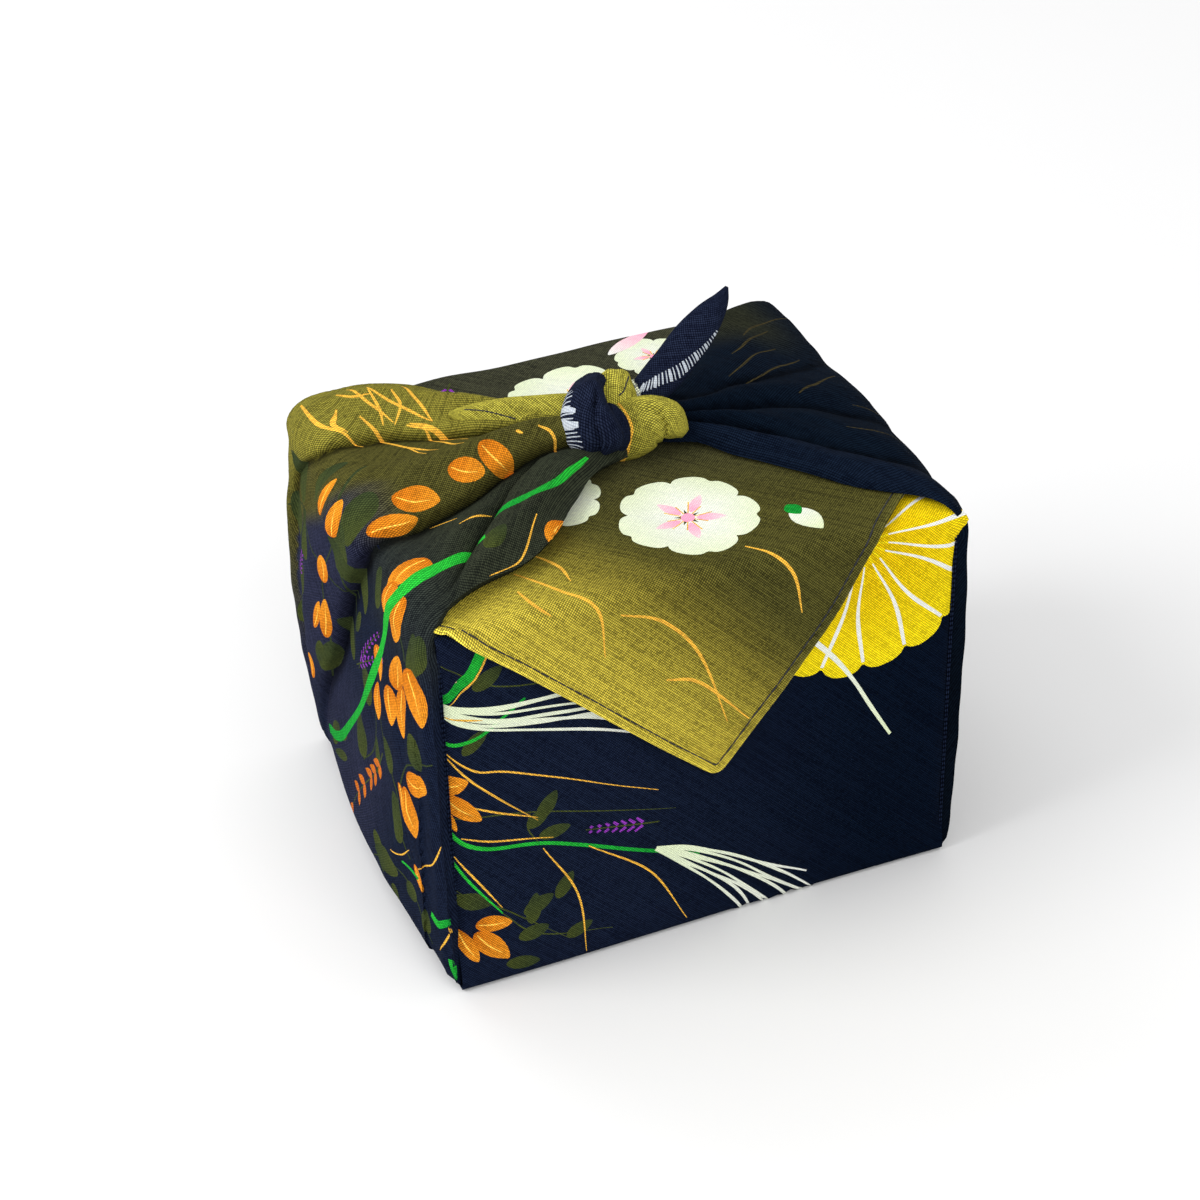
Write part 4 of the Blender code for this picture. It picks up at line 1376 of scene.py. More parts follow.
def leaves(place, table, maker):
    """Leaves, from rows of (foot, tip, width)."""
    shapes = []
    for foot, tip, width in table:
        shapes += leaf_between(place(*foot), place(*tip), width, maker)
    return shapes


def strokes(place, table, colour, colour_end=None):
    """Brush strokes, from rows of (points, widths)."""
    shapes = []
    for points, widths in table:
        shapes += ribbon([place(*q) for q in points], widths, colour, colour_end)
    return shapes


# The front and the back have places as (x, z)
FRONT_LEAVES = (
    ((-78, 70), (-69, 71), 6.4), ((-77, 68), (-66, 57), 5.6), ((-78, 65), (-73, 55), 3.6),
    ((-70, 22), (-59.5, 20.5), 5.4), ((-75, 21), (-70, 9.5), 4.6), ((-70.5, 19.5), (-61, 8), 6.6),
)
FRONT_OLIVE_LEAVES = (
    ((-53, 50), (-47, 55.5), 4.6), ((-50, 46), (-41, 48), 4.4), ((-50, 52), (-44.5, 61), 4.6),
    ((-56, 22), (-47, 26), 5.0), ((-58, 14), (-49, 16), 5.0), ((-54, 18), (-52, 28), 4.6),
    ((-75, 32), (-64.5, 28), 5.6), ((-62, 6), (-52, 4), 4.6), ((-46, 24), (-41, 32), 4.4),
    ((-66, 100), (-58, 106), 5.0), ((-70, 80), (-63, 87), 4.4), ((-44, 10), (-36, 13), 4.6),
)
FRONT_GOLD = (
    ((-77, 84), (-67, 74), (-55, 70), (-15, 52)), ((-77, 84), (-69, 72), (-61, 63), (-50, 52)),
    ((-70, 63), (-61, 58), (-50, 53)), ((-49, 42), (-40, 24), (-38, 2)),
    ((-36, 39), (-18, 24), (-7, 3)), ((-72, 52.5), (-62, 48.5), (-46, 45)),
    ((-74, 46), (-68, 36), (-62, 26)), ((-74, 93), (-68, 91), (-64, 90)),
)
FRONT_DIM_GOLD = (
    ((-77, 112), (-60, 100), (-30, 96)), ((-50, 44), (-53, 50), (-52, 56)),
    ((-62, 24), (-52, 14), (-30, 8)),
    ((-77, 60), (-50, 55), (-10, 44)), ((-74, 34), (-60, 24), (-44, 10)),
)


# Strokes of the front, from the flap down, and one loose white blade beside the yellow flower
FRONT_BIG_STEM = (((-60, 120), (-64.5, 109), (-69, 102), (-77, 96.5)), (3.0, 3.1, 2.8, 2.4))
FRONT_BIG_STEM_GOLD = ((-58.4, 120), (-62.8, 108), (-67.4, 101), (-73, 96.4))
FRONT_SHORT_STEM = (((-78, 86.5), (-73, 84), (-66, 84.5), (-59, 89), (-52, 94)),
                    (1.2, 1.2, 1.0, 0.8))
FRONT_LONG_STEM = (((-78, 61), (-73, 52), (-64, 46.5), (-46, 43), (-24, 34), (-3, 25)),
                   (1.6, 1.4, 1.2, 1.2, 1.2))
FRONT_THIN_STEM = (((-77, 49), (-70, 36), (-62, 24)), (0.9, 0.8, 0.4))
FRONT_BLADE = (((30.4, 89.6), (38.1, 80.3), (43.8, 71.5), (49.4, 60.9), (55.7, 49.5)),
               (1.7, 1.5, 1.1, 1.2, 0.9))


def front_shapes():
    p = on_front
    shapes = gold_arcs(p, FRONT_DIM_GOLD, width=0.5, colour=LEAF_OLIVE)
    shapes += leaves(p, FRONT_OLIVE_LEAVES, olive_leaf)
    shapes += strokes(p, [FRONT_BIG_STEM], GREEN, GREEN_DEEP)
    shapes += gold_arcs(p, [FRONT_BIG_STEM_GOLD], width=0.6)
    shapes += strokes(p, [FRONT_SHORT_STEM], GREEN, GREEN_DEEP)
    shapes += plume(p(-79, 98.5), angle=14, length=86, spread=18, strands=9, bend=0, dip=32)
    shapes += strokes(p, [FRONT_LONG_STEM], GREEN, GREEN_DEEP)
    shapes += plume(p(-16, 31.5), angle=29, length=62, spread=22, strands=9, bend=11)
    shapes += strokes(p, [FRONT_THIN_STEM], GREEN)
    shapes += gold_arcs(p, FRONT_GOLD, width=0.65)
    shapes += leaves(p, FRONT_LEAVES, orange_leaf)
    shapes += sprig(p(-15, 41), angle=190, length=22, ticks=7)
    # the yellow flower has its heart under the flap
    shapes += chrysanthemum(p(46, 116), radius=42, petals=19, turn=4)
    return shapes + strokes(p, [FRONT_BLADE], WHITE, CREAM)


FLAP_GOLD = (
    (on_top(-47, -44), on_top(-38, -57), on_corner(-31, 116), on_corner(-30, 102)),
    (on_top(-49, -52), on_top(-47, -60), on_corner(-44, 118)),
    (on_top(-39, -38), on_top(-35, -46), on_top(-34.5, -53)),
    (on_corner(-25, 113.5), on_corner(-13, 108), on_corner(-3, 95), on_corner(4.6, 71)),
    (on_corner(-13, 90), on_corner(-3, 86), on_corner(11, 70)),
    (on_top(14, -56), on_corner(24, 114), on_corner(27, 100)),
)


def flap_shapes():
    t = on_top
    shapes = []
    for points in FLAP_GOLD:
        shapes += gold_arc(points, width=1.0)
    shapes += blossom(t(6, -36), radius=19.5, turn=24)
    shapes += blossom(t(-26, -14), radius=15.0, turn=60)
    shapes += bud(t(33, -44), angle=74, size=13)
    shapes += blossom(t(0, 34), radius=19.0, turn=5)
    shapes += blossom(t(30, 46), radius=11.5, turn=40)
    shapes += leaf(t(18, 52), angle=-30, length=20, width=5, colour=WHITE, colour_end=PINK)
    shapes += sprig(t(-30, 56), angle=120, length=14, ticks=5)
    for x, y, angle in ((-50, 50, 30), (56, 52, 150)):
        shapes += spray_at(t(x, y), angle, reach=(8, 16), size=7)
    return shapes


BACK_STEM = (((-75, 20), (-48, 38), (-20, 40), (10, 60)), (2.2, 1.8, 1.6, 1.0))
# Sprays as (x, z, angle), and on the right side as (y, up, angle)
BACK_SPRAYS = ((-60, 70, 40), (-30, 84, 160), (40, 30, 70), (16, 92, 200), (58, 84, 260))
BACK_GOLD = (((-66, 8), (-40, 20), (-30, 50)), ((30, 8), (44, 30), (40, 58)))


def back_shapes():
    b = on_back
    shapes = strokes(b, [BACK_STEM], GREEN, GREEN_DEEP)
    for x, z, angle in BACK_SPRAYS:
        shapes += spray_at(b(x, z), angle, reach=(9, 18), size=8)
    shapes += leaves_at(b(-46, 46), (50, 100, 150), length=10.5, width=6)
    shapes += leaves_at(b(-4, 64), (-20, 30, 80), length=10, width=5.6)
    shapes += plume(b(8, 60), angle=30, length=40, spread=26, strands=7, bend=10)
    shapes += gold_arcs(b, BACK_GOLD, width=0.7)
    return shapes + sprig(b(30, 70), angle=60, length=18, ticks=6)


# The sides have places as (y, up)
LEFT_LEAVES = (
    # on the middle roll, from the knot down to its edge
    ((4, 36), (-3, 43), 7.5), ((-1, 25), (-6, 34), 8.0), ((-6, 7), (-12, 19), 8.6),
    ((-13, 0), (-16.5, 11), 8.0), ((15, -7), (15, 1), 5.4), ((6, -8), (5.5, 0), 7.4),
    ((19, -32), (19, -22), 7.0), ((27, -56), (22, -39), 7.0), ((34, -57), (27, -43), 4.6),
    ((52, -88), (49, -76), 7.0),
    # on the front roll
    ((-37, 7), (-38, -2), 8.6), ((-37, 0), (-35, -8), 8.0), ((-44, 0), (-43, -12), 7.0),
    ((-21, -28), (-26, -35), 8.0),
    ((-43, -28), (-44, -16), 9.0), ((-51, -15), (-60, -29), 10.0), ((-47, -24), (-44, -43), 7.0),
    ((-36, -30), (-38, -43), 8.0), ((-22, -39), (-20, -52), 9.5), ((-47, -54), (-59, -51), 9.5),
    ((-45, -59), (-52, -72), 7.5), ((-41, -60), (-44, -68), 3.0), ((-48, -84), (-51, -91), 3.4),
    ((-34, 47), (-38.5, 40), 8.0),
)
LEFT_OLIVE_LEAVES = (
    ((-55, -16), (-55, -3), 8.5), ((38, -76), (24, -56), 10.0), ((-4, -77), (-2, -63), 8.5),
    ((-14, -96), (-20, -107), 7.0), ((-20, -71), (-17, -60), 5.0),
    ((-36, -61), (-28, -52), 6.0), ((-42, -81), (-35, -67), 7.5),
    ((-33, -97), (-14, -104), 10.0), ((-47, -95), (-38, -101), 8.0),
    ((-28, -106), (-30, -113), 5.0),
    ((-51, -107), (-51, -98), 6.0), ((31, -60), (40, -73), 5.0), ((17, -86), (31, -95), 4.0),
    ((18, -94), (34, -104), 4.0), ((-8, -4), (0, 4), 8.5), ((1, -15), (2, -3), 9.0),
    ((-8, -27), (8, -9), 9.0),
    ((-25, -14), (-24, -2), 9.5), ((-58, -13), (-58, -2), 7.0), ((44, -20), (52, -7), 9.0),
    ((34, -33), (44, -22), 8.5), ((28, -9), (21, 4), 8.0), ((48, -53), (40, -39), 9.0),
    ((58, -71), (52, -57), 8.0), ((40, -102), (30, -89), 8.5), ((-14, -53), (-6, -43), 8.0),
    ((50, -36), (57, -24), 8.0), ((0, -32), (8, -42), 7.0),
    ((-52, -36), (-56, -46), 7.0), ((10, -54), (18, -44), 8.0), ((-40, 22), (-33, 30), 8.0),
)
LEFT_STEMS = (
    ((8, -50), (6, -24), (2, -6), (12, 6)), ((40, -80), (24, -55), (20, -30), (4, -6)),
    ((-44, -84), (-36, -62), (-26, -50), (-20, -30)), ((-4, -78), (-16, -66), (-18, -50)),
    ((60, -30), (44, -22), (26, -24), (6, -30)), ((-52, -110), (-44, -98), (-32, -96), (-12, -108)),
    ((-62, -40), (-48, -50), (-40, -64)), ((58, -74), (46, -54), (42, -34), (54, -8)),
    ((-50, -14), (-42, 2), (-38, 14)),
)
LEFT_GREEN_STEMS = (
    (((-8, 63), (-13, 57), (-19, 49), (-23.5, 40), (-24.5, 30)), (1.0, 1.7, 2.5, 3.0, 2.8)),
    (((-34, 24), (-38, 16), (-41, 8), (-42, 0), (-37, -9), (-29, -20), (-21, -33), (0, -62),
      (26, -90), (47, -105)), (1.8, 3.4, 3.8, 4.0, 4.2, 4.2, 4.2, 4.0, 4.2, 3.2)),
    (((-55, -96.8), (-59.5, -96.2), (-64, -92.8)), (2.2, 3.2, 2.4)),
    (((-38, -89), (-50, -88)), (1.0, 1.4)), (((-63.6, -107), (-64.8, -114)), (2.2, 2.6)),
)
LEFT_GOLD = (
    ((53, 13), (41, 16), (31, 20)), ((48, 18), (38, 18), (31, 17)), ((48, 28), (36, 29), (26, 30)),
    ((49, 18), (38, 23), (26, 30)), ((57, 2), (42, 3), (33, 6), (29, 10)),
    ((44, 7), (38, 5), (33, 7)),
    ((37, 12), (31, 14), (24, 18), (8, 22)), ((25, 17), (17, 20), (10, 26)),
    ((29, 24), (24, 29), (13, 36)),
    ((29, 23), (23, 29), (17, 33)), ((25, 27), (14, 30), (8, 33)), ((6, 54), (2, 57), (-2, 57)),
    ((50, 9), (46, 13), (45, 18)), ((44, 24), (36, 24), (30, 20)), ((6, 47.5), (4.6, 49)),
)
LEFT_THIN_GOLD = (
    ((-24, 20), (-22, 30)), ((-17, 14), (-20, 21)), ((-31, -91), (-40, -86), (-46, -80)),
    ((-49, -84), (-59, -76), (-63, -67)), ((-64, -95), (-62, -102), (-59, -107)),
    ((-30, 40), (-44, 30), (-48, 20)),
)


def left_shapes():
    p = LEFT.place
    shapes = strokes(p, [(points, (0.6, 0.9, 0.6)) for points in LEFT_STEMS], LEAF_OLIVE_DIM)
    shapes += leaves(p, LEFT_OLIVE_LEAVES, olive_leaf)
    shapes += spray([p(-28, -60), p(-12, -78), p(10, -106)], small_leaf, size=6.5, pairs=5)
    shapes += sprig(p(4, -52), angle=130, length=34, ticks=8)
    shapes += sprig(p(0, -50), angle=105, length=30, ticks=7)
    shapes += sprig(p(50, -50), angle=95, length=16, ticks=5)
    shapes += gold_arcs(p, LEFT_GOLD, width=0.95)
    shapes += gold_arcs(p, LEFT_THIN_GOLD, width=0.7)
    shapes += leaves(p, LEFT_LEAVES, orange_leaf)
    return shapes + strokes(p, LEFT_GREEN_STEMS, GREEN, GREEN_DEEP)


RIGHT_LINES = (
    ((31, 12), (26, 24), (20, 32)), ((24, 8), (20, 20), (16, 30)), ((-20, 14), (-24, 7), (-27, 0)),
    ((42, 10), (36, 20), (32, 26)), ((10, 4), (5, 12), (3, 18)), ((-8, 6), (-12, 0), (-14, -8)),
    ((50, 0), (46, 12), (42, 18)),
)
RIGHT_SPRAYS = ((-30, -50, 70), (10, -80, 100), (36, -44, 80))
RIGHT_GOLD = (((-50, -104), (-20, -70), (10, -60)), ((30, -110), (34, -80), (20, -56)))


def right_shapes():
    p = RIGHT.place
    shapes = strokes(p, [(points, (0.3, 0.7, 0.3)) for points in RIGHT_LINES], BROWN_DIM)
    for y, up, angle in RIGHT_SPRAYS:
        shapes += spray_at(p(y, up), angle, reach=(9, 19), size=8, bend=16)
    return shapes + gold_arcs(p, RIGHT_GOLD, width=0.8)


def fold_place(side, name, points):
    """Where a fold line runs at the level of each point."""
    i, f = side.rows(points[:, 1])
    column = side.folds.index(name) * side.PER_FOLD
    return between(side.w[:, column][:, None], i, f)[:, 0]


def painted_valley_shade(colour, gap, half_width, share):
    """Painted shade along a valley: darker where the gap to it is small."""
    near = share * (1 - fade(np.abs(gap), 0.3, half_width))
    return blend(colour, colour * 0.3, near)


def left_ground(points):
    """Ground colour of the left side, which changes at the two valleys, with painted shade along
    its valleys.
    """
    w, up = points[:, 0], points[:, 1]
    second = fold_place(LEFT, "valley_2", points)
    front = blend(OLIVE_GREY, NAVY, 1 - fade(up, -30, 22))
    front = blend(front, INDIGO, fade(-up, 40, 80) * (1 - fade(-w, 50, 80)) * 0.8)
    middle = blend(OLIVE_DARK, INDIGO, 1 - fade(up + 1.4 * np.maximum(w - 22, 0), -6, 12))
    middle = blend(middle, NAVY, 1 - fade(up, -118, -66))
    back = blend(OLIVE, OLIVE_DARK, 1 - fade(up, -40, 2))
    back = blend(back, INDIGO, 1 - fade(up, -90, -30))
    middle = np.where((w > 0)[:, None], middle, front)
    colour = np.where((w > second)[:, None], back, middle)
    # Painted shade: darker along valley_1, valley_2 and valley_1b, where the folds lie in shade
    colour = painted_valley_shade(colour, w + 1.5, 5.0, fade(up, -110, -70) * (1 - fade(up, 50, 70)))
    colour = painted_valley_shade(colour, w - second + 1.0, 3.5, fade(up, -50, -10))
    return painted_valley_shade(colour, w - fold_place(LEFT, "valley_1b", points), 3.0, fade(up, 0, 20))


def right_ground(points):
    """Ground colour of the right side: deep navy with painted shade and light on its folds, a
    little olive at the back of its top.
    """
    w, up = points[:, 0], points[:, 1]
    # Painted shade: darker navy down the wall, the side away from the light
    colour = blend(NIGHT_DEEP, NIGHT, fade(up, -60, 10))
    above = fade(up, -8, 8)
    first = fold_place(RIGHT, "valley_1", points)
    # Painted light: lighter navy on the pleat in front of the first valley, which faces the front
    colour = blend(colour, NIGHT_SOFT, fade(first - w, -1, 4) * above)
    # Painted shade along the three valleys of the gather
    for name in ("valley_1", "valley_2", "valley_3"):
        colour = painted_valley_shade(colour, w - fold_place(RIGHT, name, points) - 0.8, 2.6, above)
    painted_hem_light_and_olive_share = fade(w, 34, 58) * fade(up, 0, 14) * (1 - fade(up, 22, 40))
    return blend(colour, OLIVE_SHADE, painted_hem_light_and_olive_share)


# ---------------------------------------------------------------- hidden layers and stitches


# The folds that go in under the sides at the upright edges of the box: x of each layer, its
# outer y, how far it reaches in, its heights and thickness, and the thread places of one cell
TUCK_LAYERS = (74.1, 74.65)
TUCK_Y = 61.8
TUCK_REACH = 60.0
TUCK_HEIGHTS = np.linspace(2.5, 115, 16)
TUCK_T = 0.25
TUCK_CELL = 4.0


def strip(cloth, rows, colour):
    """A thin layer of cloth through a grid of points, in one colour."""
    rows = np.asarray(rows, float)
    height, width = rows.shape[:2]
    tris = []
    for r in range(height - 1):
        for c in range(width - 1):
            a = r * width + c
            tris += [(a, a + 1, a + width + 1), (a, a + width + 1, a + width)]
    u, v = np.meshgrid(np.arange(width), np.arange(height))
    threads = np.stack([u.ravel() * TUCK_CELL, v.ravel() * TUCK_CELL], axis=1)
    cloth.add_sheet(rows.reshape(-1, 3), np.array(tris), unprinted(len(tris), colour), threads,
                    TUCK_T)


def add_tucks(cloth):
    """The layers folded in between the box and the side cloths."""
    for sign in (-1, 1):
        for wall in (-1, 1):
            for x in TUCK_LAYERS:
                rows = [
                    [(sign * x, wall * (TUCK_Y - min(z, TUCK_REACH) * share), z)
                     for share in (0, 0.33, 0.66, 1)]
                    for z in TUCK_HEIGHTS
                ]
                strip(cloth, rows, NAVY)


# A stitch as rings of vertices: share of its length, share of its radius, height over the cloth
STITCH_RINGS = ((0, 0.6, -0.02), (0.12, 1, 0.1), (0.5, 1, 0.14), (0.88, 1, 0.1), (1, 0.6, -0.02))
STITCH_SIDES = 5
STITCH_LENGTH = 2.9
STITCH_GAP = 0.1
STITCH_R = 0.26
# The ends of the seam along the hem, as x, and the seams on two strands of the knot, as (share of
# the length, angle)
SEAM_LEFT, SEAM_RIGHT = -74.0, 69.0
KNOT_SEAMS = {
    "light_tip": ((0.5, 234), (0.6, 252), (0.72, 272), (0.86, 290), (0.95, 302)),
    "light_band": ((0.22, 266), (0.24, 288), (0.32, 316), (0.4, 336), (0.48, 346)),
}


def stitch_run(path, place):
    """Vertices and faces of a running stitch along a path on the cloth."""
    travel = travelled(path)
    shares = np.array([share for share, _, _ in STITCH_RINGS])
    last_ring = STITCH_SIDES * (len(STITCH_RINGS) - 1)
    verts, faces = [], []
    at = STITCH_GAP
    while at + STITCH_LENGTH < travel[-1] - STITCH_GAP:
        spots = at + shares * STITCH_LENGTH
        flat = np.stack([np.interp(spots, travel, column) for column in path.T], axis=1)
        line = place(flat)
        ahead = line[-1] - line[0]
        ahead /= np.linalg.norm(ahead)
        normal = surface_normal(place, flat[2])
        side = np.cross(ahead, normal)
        first = len(verts)
        for point, (_, thick, lift) in zip(line, STITCH_RINGS):
            for k in range(STITCH_SIDES):
                turn = 2 * math.pi * k / STITCH_SIDES
                way = side * math.cos(turn) + normal * math.sin(turn)
                verts.append(point + normal * lift + way * STITCH_R * thick)
        for ring in range(first, first + last_ring, STITCH_SIDES):
            for k in range(STITCH_SIDES):
                a = ring + k
                b = ring + (k + 1) % STITCH_SIDES
                faces.append((a, b, b + STITCH_SIDES, a + STITCH_SIDES))
        faces.append(tuple(first + k for k in range(STITCH_SIDES))[::-1])
        faces.append(tuple(first + last_ring + k for k in range(STITCH_SIDES)))
        at += STITCH_LENGTH + STITCH_GAP
    return verts, faces


def surface_normal(place, spot):
    around = place(np.array([spot, spot + (0.2, 0), spot + (0, 0.2)]))
    normal = np.cross(around[2] - around[0], around[1] - around[0])
    return normal / np.linalg.norm(normal)


def hem_stitches(material):
    """The stitches of the hem, as one piece."""
    seam = inset(HEM, HEM_W)
    seam = seam[(seam[:, 0] > SEAM_LEFT) & (seam[:, 0] < SEAM_RIGHT)]
    runs = [(seam, band_place)]
    for name, places in KNOT_SEAMS.items():
        strand = STRANDS[name]
        runs.append((soft_curve([strand.place(*q) for q in places], 6), strand.locate))
    verts, faces = [], []
    for path, place in runs:
        more, more_faces = stitch_run(path, place)
        faces += [tuple(i + len(verts) for i in face) for face in more_faces]
        verts += more
    mesh = bpy.data.meshes.new("hem_stitches")
    mesh.from_pydata([tuple(v * MM) for v in verts], [], faces)
    mesh.materials.append(material)
    mesh.shade_smooth()
    return add_object("hem_stitches", mesh)


# ---------------------------------------------------------------- the cloth as one piece


# Steps of the mesh on the two sides
LEFT_STEP = 1.7
RIGHT_STEP = 2.5


def even_thickness(points):
    return np.full(len(points), CLOTH_T)


def band_thickness(points):
    """Thickness of the middle cloth: more where its hem is turned."""
    hem = distance_to(HEM, points)
    return CLOTH_T + np.where(points[:, 1] > S_HEM, HEM_EXTRA * (hem < HEM_W), 0)


def add_panel(cloth, outline, grid, lines, shapes, ground, place, thickness, flip):
    """A sheet of cloth from its outline, grid and lines on the flat, with its print."""
    points, tris, tops = triangulate(outline, grid, lines, shapes, PANEL_GAP)
    colours = paint(points, tris, tops, shapes, ground)
    if flip:
        tris = tris[:, ::-1]
        colours = colours[:, ::-1]
    cloth.add_sheet(place(points), tris, colours, points, thickness(points))


def add_band(cloth):
    s_lines = band_lines()
    hem_lines = [inset(HEM, distance) for distance, _ in HEM_PROFILE[1:]]
    shapes = front_shapes() + flap_shapes() + back_shapes()
    add_panel(cloth, band_outline(s_lines), band_grid(s_lines), hem_lines, shapes, band_ground,
              band_place, band_thickness, True)


def add_side(cloth, side, shapes, ground, step, flip):
    lines = [side.fold_line(name) for name in side.folds[1:-1]]
    add_panel(cloth, side.outline(), side.grid(step), lines, shapes, ground, side.locate,
              even_thickness, flip)


def add_strand(cloth, name):
    """A strand of the knot: a closed skin with its seam joined and its ends capped."""
    strand = STRANDS[name]
    shapes = strand_shapes(name)
    ground = strand_ground(name)
    points, tris, tops = triangulate(strand.outline(), strand.grid(STRAND_STEP), [], shapes,
                                     STRAND_GAP)
    colours = paint(points, tris, tops, shapes, ground)
    placed = strand.locate(points)
    seam = {round(p[1], 3): i for i, p in enumerate(points) if p[0] < SEAM_TOLERANCE}
    joined = np.arange(len(points))
    for i, p in enumerate(points):
        if p[0] > strand.girth - SEAM_TOLERANCE:
            joined[i] = seam[round(p[1], 3)]
    tris = joined[tris]
    caps, cap_colours = [], []
    for v, outward in ((0.0, False), (strand.length, True)):
        ring = [i for i in np.argsort(points[:, 0])
                if abs(points[i, 1] - v) < SEAM_TOLERANCE and joined[i] == i]
        for a, b in zip(ring[1:], ring[2:]):
            caps.append((ring[0], a, b) if outward else (ring[0], b, a))
            cap_colours.append(ground(points[[ring[0], a, b]]))
    tris = np.vstack([tris, caps])
    colours = np.vstack([colours, unprinted(len(caps), cap_colours)])
    centre = strand.centre.mean(axis=0)
    normals = vertex_normals(placed, tris)
    if ((placed - centre) * normals).sum() < 0:
        tris, colours = tris[:, ::-1], colours[:, ::-1]
    cloth.add(placed, tris, colours, points)


# ---------------------------------------------------------------- materials


class Nodes:
    """Short calls for building a material's nodes."""

    def __init__(self, name):
        self.material = bpy.data.materials.new(name)
        self.material.use_nodes = True
        self.tree = self.material.node_tree
        self.shader = self.tree.nodes["Principled BSDF"]

    def surface(self, colour, height=None, strength=0.0, depth=0.0, **values):
        """Links the colour and the bump to the shader and sets its other inputs."""
        self.tree.links.new(colour, self.shader.inputs["Base Color"])
        for name, value in values.items():
            self.shader.inputs[name.replace("_", " ")].default_value = value
        if height is not None:
            bump = self.node("ShaderNodeBump", {"Height": height, "Strength": strength,
                                                "Distance": depth})
            self.tree.links.new(bump.outputs[0], self.shader.inputs["Normal"])
        return self.material

    def node(self, kind, inputs=(), **settings):
        made = self.tree.nodes.new(kind)
        for key, value in settings.items():
            setattr(made, key, value)
        for key, value in dict(inputs).items():
            if isinstance(value, bpy.types.NodeSocket):
                self.tree.links.new(value, made.inputs[key])
            else:
                made.inputs[key].default_value = value
        return made

    def place(self):
        return self.node("ShaderNodeTexCoord").outputs["Object"]

    def attribute(self, name):
        return self.node("ShaderNodeAttribute", attribute_name=name, attribute_type="GEOMETRY")

    def math(self, operation, first, second=0.0, third=0.0):
        made = self.node("ShaderNodeMath", {0: first, 1: second, 2: third}, operation=operation)
        return made.outputs[0]

    def speckle(self, x, y, size=1.0):
        """A random value for each whole step of x and y."""
        steps = {0: self.math("FLOOR", x), 1: self.math("FLOOR", y)}
        cell = self.node("ShaderNodeCombineXYZ", steps).outputs[0]
        value = self.node("ShaderNodeTexWhiteNoise", {"Vector": cell}, noise_dimensions="2D")
        return self.math("MULTIPLY", value.outputs["Value"], size)

    def mix(self, share, first, second, blend_type="MIX"):
        return self.node("ShaderNodeMix", {0: share, 6: first, 7: second}, data_type="RGBA",
                         blend_type=blend_type).outputs[2]

    def noise(self, vector, scale, detail=2.0, roughness=0.5):
        inputs = {"Vector": vector, "Scale": scale, "Detail": detail, "Roughness": roughness}
        return self.node("ShaderNodeTexNoise", inputs).outputs["Fac"]

    def ramp(self, value, low, high):
        made = self.node("ShaderNodeMapRange", {0: value, 1: low, 2: high, 3: 0.0, 4: 1.0})
        return made.outputs[0]


# The weave: the size of a thread in millimetres, and how fast its shade changes along it
THREAD_PITCH = 0.6
WARP_CHANGE = 0.03
WEFT_CHANGE = 0.06
# What each kind of unevenness adds to the shade of a crossing
CROSSING_PART = 0.42
WARP_PART = 0.3
WEFT_PART = 0.12
CLOUD_PART = 0.1
EVEN_PART = 0.3
# Size of the cloudy unevenness, and how far each thread's changes are shifted at random
CLOUD_SCALE = 0.35
THREAD_SHIFT = 40.0
# How much of a crossing's shade its round form makes, and the part of the shade that is spread
# over the whole way from the dark colour to the pale one
ROUND_PART = 0.9
WEAVE_RANGE = (0.1, 0.62)
# Slubs: the values that make one, and how much of the dark slub colour it has
SLUB_RANGE = (0.8, 0.95)
SLUB_SHARE = 0.3
BUMP_STRENGTH = 0.5
BUMP_DEPTH = 0.00025
# The print's colour in the dark and pale threads and in the dark slubs
DARK_THREAD = (0.24, 0.25, 0.3, 1)
PALE_THREAD = (2.5, 2.46, 1.9, 1)
DARK_SLUB = (0.45, 0.44, 0.5, 1)


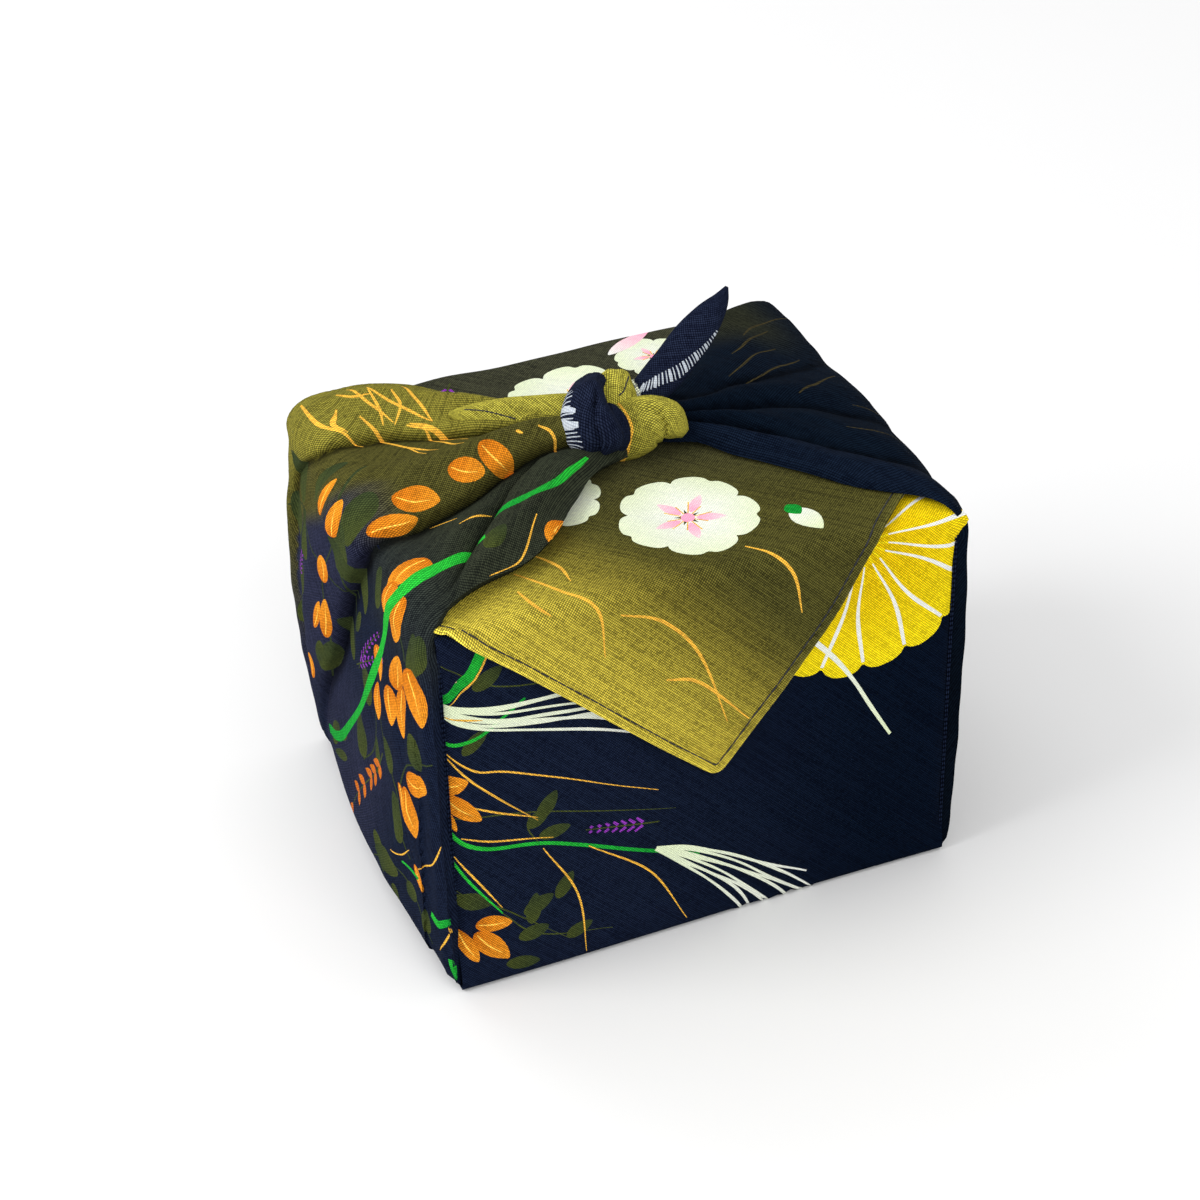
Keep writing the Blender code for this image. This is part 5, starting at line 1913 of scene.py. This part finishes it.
def cloth_material():
    """Printed slub cotton: a plain weave whose threads differ, both ways and along each thread."""
    n = Nodes("printed_slub_cotton")
    thread = n.attribute("thread").outputs["Vector"]
    printed = n.attribute("print")
    x, y, _ = n.node("ShaderNodeSeparateXYZ", {0: thread}).outputs
    per_thread = math.sqrt(0.5) / THREAD_PITCH
    along = n.math("MULTIPLY", n.math("ADD", x, y), per_thread)
    across = n.math("MULTIPLY", n.math("SUBTRACT", x, y), per_thread)
    warp = n.speckle(
        n.math("MULTIPLY_ADD", along, WARP_CHANGE, n.speckle(0.0, across, THREAD_SHIFT)), across)
    weft = n.speckle(
        along, n.math("MULTIPLY_ADD", across, WEFT_CHANGE, n.speckle(along, 7.0, THREAD_SHIFT)))
    slub = n.speckle(
        n.math("MULTIPLY_ADD", along, WARP_CHANGE, n.speckle(3.0, across, THREAD_SHIFT)), across)
    cloud = n.noise(thread, CLOUD_SCALE)
    half_turn = (n.math("SINE", n.math("MULTIPLY", way, math.pi)) for way in (along, across))
    dots = n.math("ABSOLUTE", n.math("MULTIPLY", *half_turn))
    mixed = n.math("MULTIPLY", n.speckle(along, across), CROSSING_PART)
    for part, weight in ((warp, WARP_PART), (weft, WEFT_PART), (cloud, CLOUD_PART)):
        mixed = n.math("ADD", mixed, n.math("MULTIPLY", part, weight))
    weave = n.math("MULTIPLY", n.math("MULTIPLY_ADD", dots, ROUND_PART, 1 - ROUND_PART),
                   n.math("ADD", mixed, EVEN_PART))
    weave = n.ramp(weave, *WEAVE_RANGE)
    colour, cover = printed.outputs["Color"], printed.outputs["Alpha"]
    dark, pale, dark_slub = (
        n.mix(1.0, colour, tint, "MULTIPLY") for tint in (DARK_THREAD, PALE_THREAD, DARK_SLUB))
    threads = n.mix(cover, n.mix(weave, dark, pale), colour)
    bare = n.math("MULTIPLY_ADD", cover, -1.2, 1.0)
    streak = n.math("MULTIPLY", n.ramp(slub, *SLUB_RANGE), n.math("MULTIPLY", bare, SLUB_SHARE))
    return n.surface(n.mix(streak, threads, dark_slub), weave, BUMP_STRENGTH, BUMP_DEPTH,
                     Roughness=0.9, Specular_IOR_Level=0.015, Sheen_Weight=0.004,
                     Sheen_Roughness=0.4)


def thread_material():
    n = Nodes("dark_thread")
    twist = n.noise(n.place(), 2600.0, 1.0)
    return n.surface(n.mix(twist, (0.003, 0.004, 0.008, 1), (0.012, 0.013, 0.022, 1)),
                     Roughness=0.7)


def card_material():
    n = Nodes("gift_card")
    place = n.place()
    fibres = n.noise(place, 900.0, 4.0, 0.7)
    cloud = n.noise(place, 40.0)
    mixed = n.mix(fibres, (0.42, 0.3, 0.18, 1), (0.6, 0.46, 0.3, 1))
    colour = n.mix(n.math("MULTIPLY", cloud, 0.3), mixed, (0.5, 0.4, 0.28, 1))
    return n.surface(colour, fibres, 0.2, 0.0002, Roughness=0.85)


def floor_material():
    n = Nodes("white_floor")
    cloud = n.noise(n.place(), 1.5)
    return n.surface(n.mix(cloud, (0.8, 0.8, 0.803, 1), (0.815, 0.815, 0.815, 1)),
                     Roughness=0.9, Specular_IOR_Level=0.1)


# ---------------------------------------------------------------- camera, light and floor


def make_camera():
    azimuth, elevation = math.radians(CAMERA_AZIMUTH), math.radians(CAMERA_ELEVATION)
    roll = math.radians(CAMERA_ROLL)
    level = math.cos(elevation)
    back = Vector((math.sin(azimuth) * level, -math.cos(azimuth) * level, math.sin(elevation)))
    right = (-back).cross(Vector((0, 0, 1))).normalized()
    up = right.cross(-back).normalized()
    turned_right = right * math.cos(roll) + up * math.sin(roll)
    turned_up = -right * math.sin(roll) + up * math.cos(roll)
    place = back * CAMERA_DISTANCE + turned_right * CAMERA_ASIDE + turned_up * CAMERA_RAISED
    axes = Matrix((turned_right, turned_up, back)).transposed().to_4x4()
    camera = add_object("camera", bpy.data.cameras.new("camera"))
    camera.data.lens = LENS_MM
    camera.data.sensor_width = SENSOR_MM
    camera.data.sensor_fit = "HORIZONTAL"
    camera.data.clip_start = 0.05
    camera.matrix_world = Matrix.Translation(place) @ axes
    bpy.context.scene.camera = camera


# Round soft lights: place, height of the point they are aimed at, size and power
LIGHTS = {
    "window_left": ((-1.35, 0.05, 1.15), 0.06, 1.1, 18),
    "window_back": ((-0.5, 1.6, 1.5), 0.08, 1.2, 7),
    "front_fill": ((0.2, -1.9, 1.5), 0.06, 1.6, 16),
}
WORLD_LIGHT = 0.8
FLOOR_HALF = 4.0
FLOOR_CELLS = 24
FLOOR_Z = -0.0002


def add_light(name, place, aim, size, power):
    data = bpy.data.lights.new(name, "AREA")
    data.shape = "DISK"
    data.size = size
    data.energy = power
    light = add_object(name, data)
    light.location = place
    way = Vector((0, 0, aim)) - Vector(place)
    light.rotation_euler = way.to_track_quat("-Z", "Y").to_euler()


def make_stage():
    mesh = bpy.data.meshes.new("floor")
    shape = bmesh.new()
    bmesh.ops.create_grid(shape, x_segments=FLOOR_CELLS, y_segments=FLOOR_CELLS, size=FLOOR_HALF)
    shape.to_mesh(mesh)
    shape.free()
    floor = add_object("floor", mesh)
    floor.location.z = FLOOR_Z
    mesh.materials.append(floor_material())
    for name, values in LIGHTS.items():
        add_light(name, *values)
    world = bpy.data.worlds.new("studio")
    world.use_nodes = True
    world.node_tree.nodes["Background"].inputs[0].default_value = (1, 1, 1, 1)
    world.node_tree.nodes["Background"].inputs[1].default_value = WORLD_LIGHT
    bpy.context.scene.world = world
    bpy.context.scene.view_settings.view_transform = "Standard"


def main():
    make_camera()
    make_stage()
    cloth = Cloth()
    add_band(cloth)
    add_side(cloth, LEFT, left_shapes(), left_ground, LEFT_STEP, True)
    add_side(cloth, RIGHT, right_shapes(), right_ground, RIGHT_STEP, False)
    for name in STRANDS:
        add_strand(cloth, name)
    add_tucks(cloth)
    piece = cloth.build("furoshiki_wrap", cloth_material())
    stitches = hem_stitches(thread_material())
    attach(piece, "root")
    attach(stitches, "root")
    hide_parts("furoshiki_cloth")
    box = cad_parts["gift_box"]
    box.data.materials.clear()
    box.data.materials.append(card_material())


main()
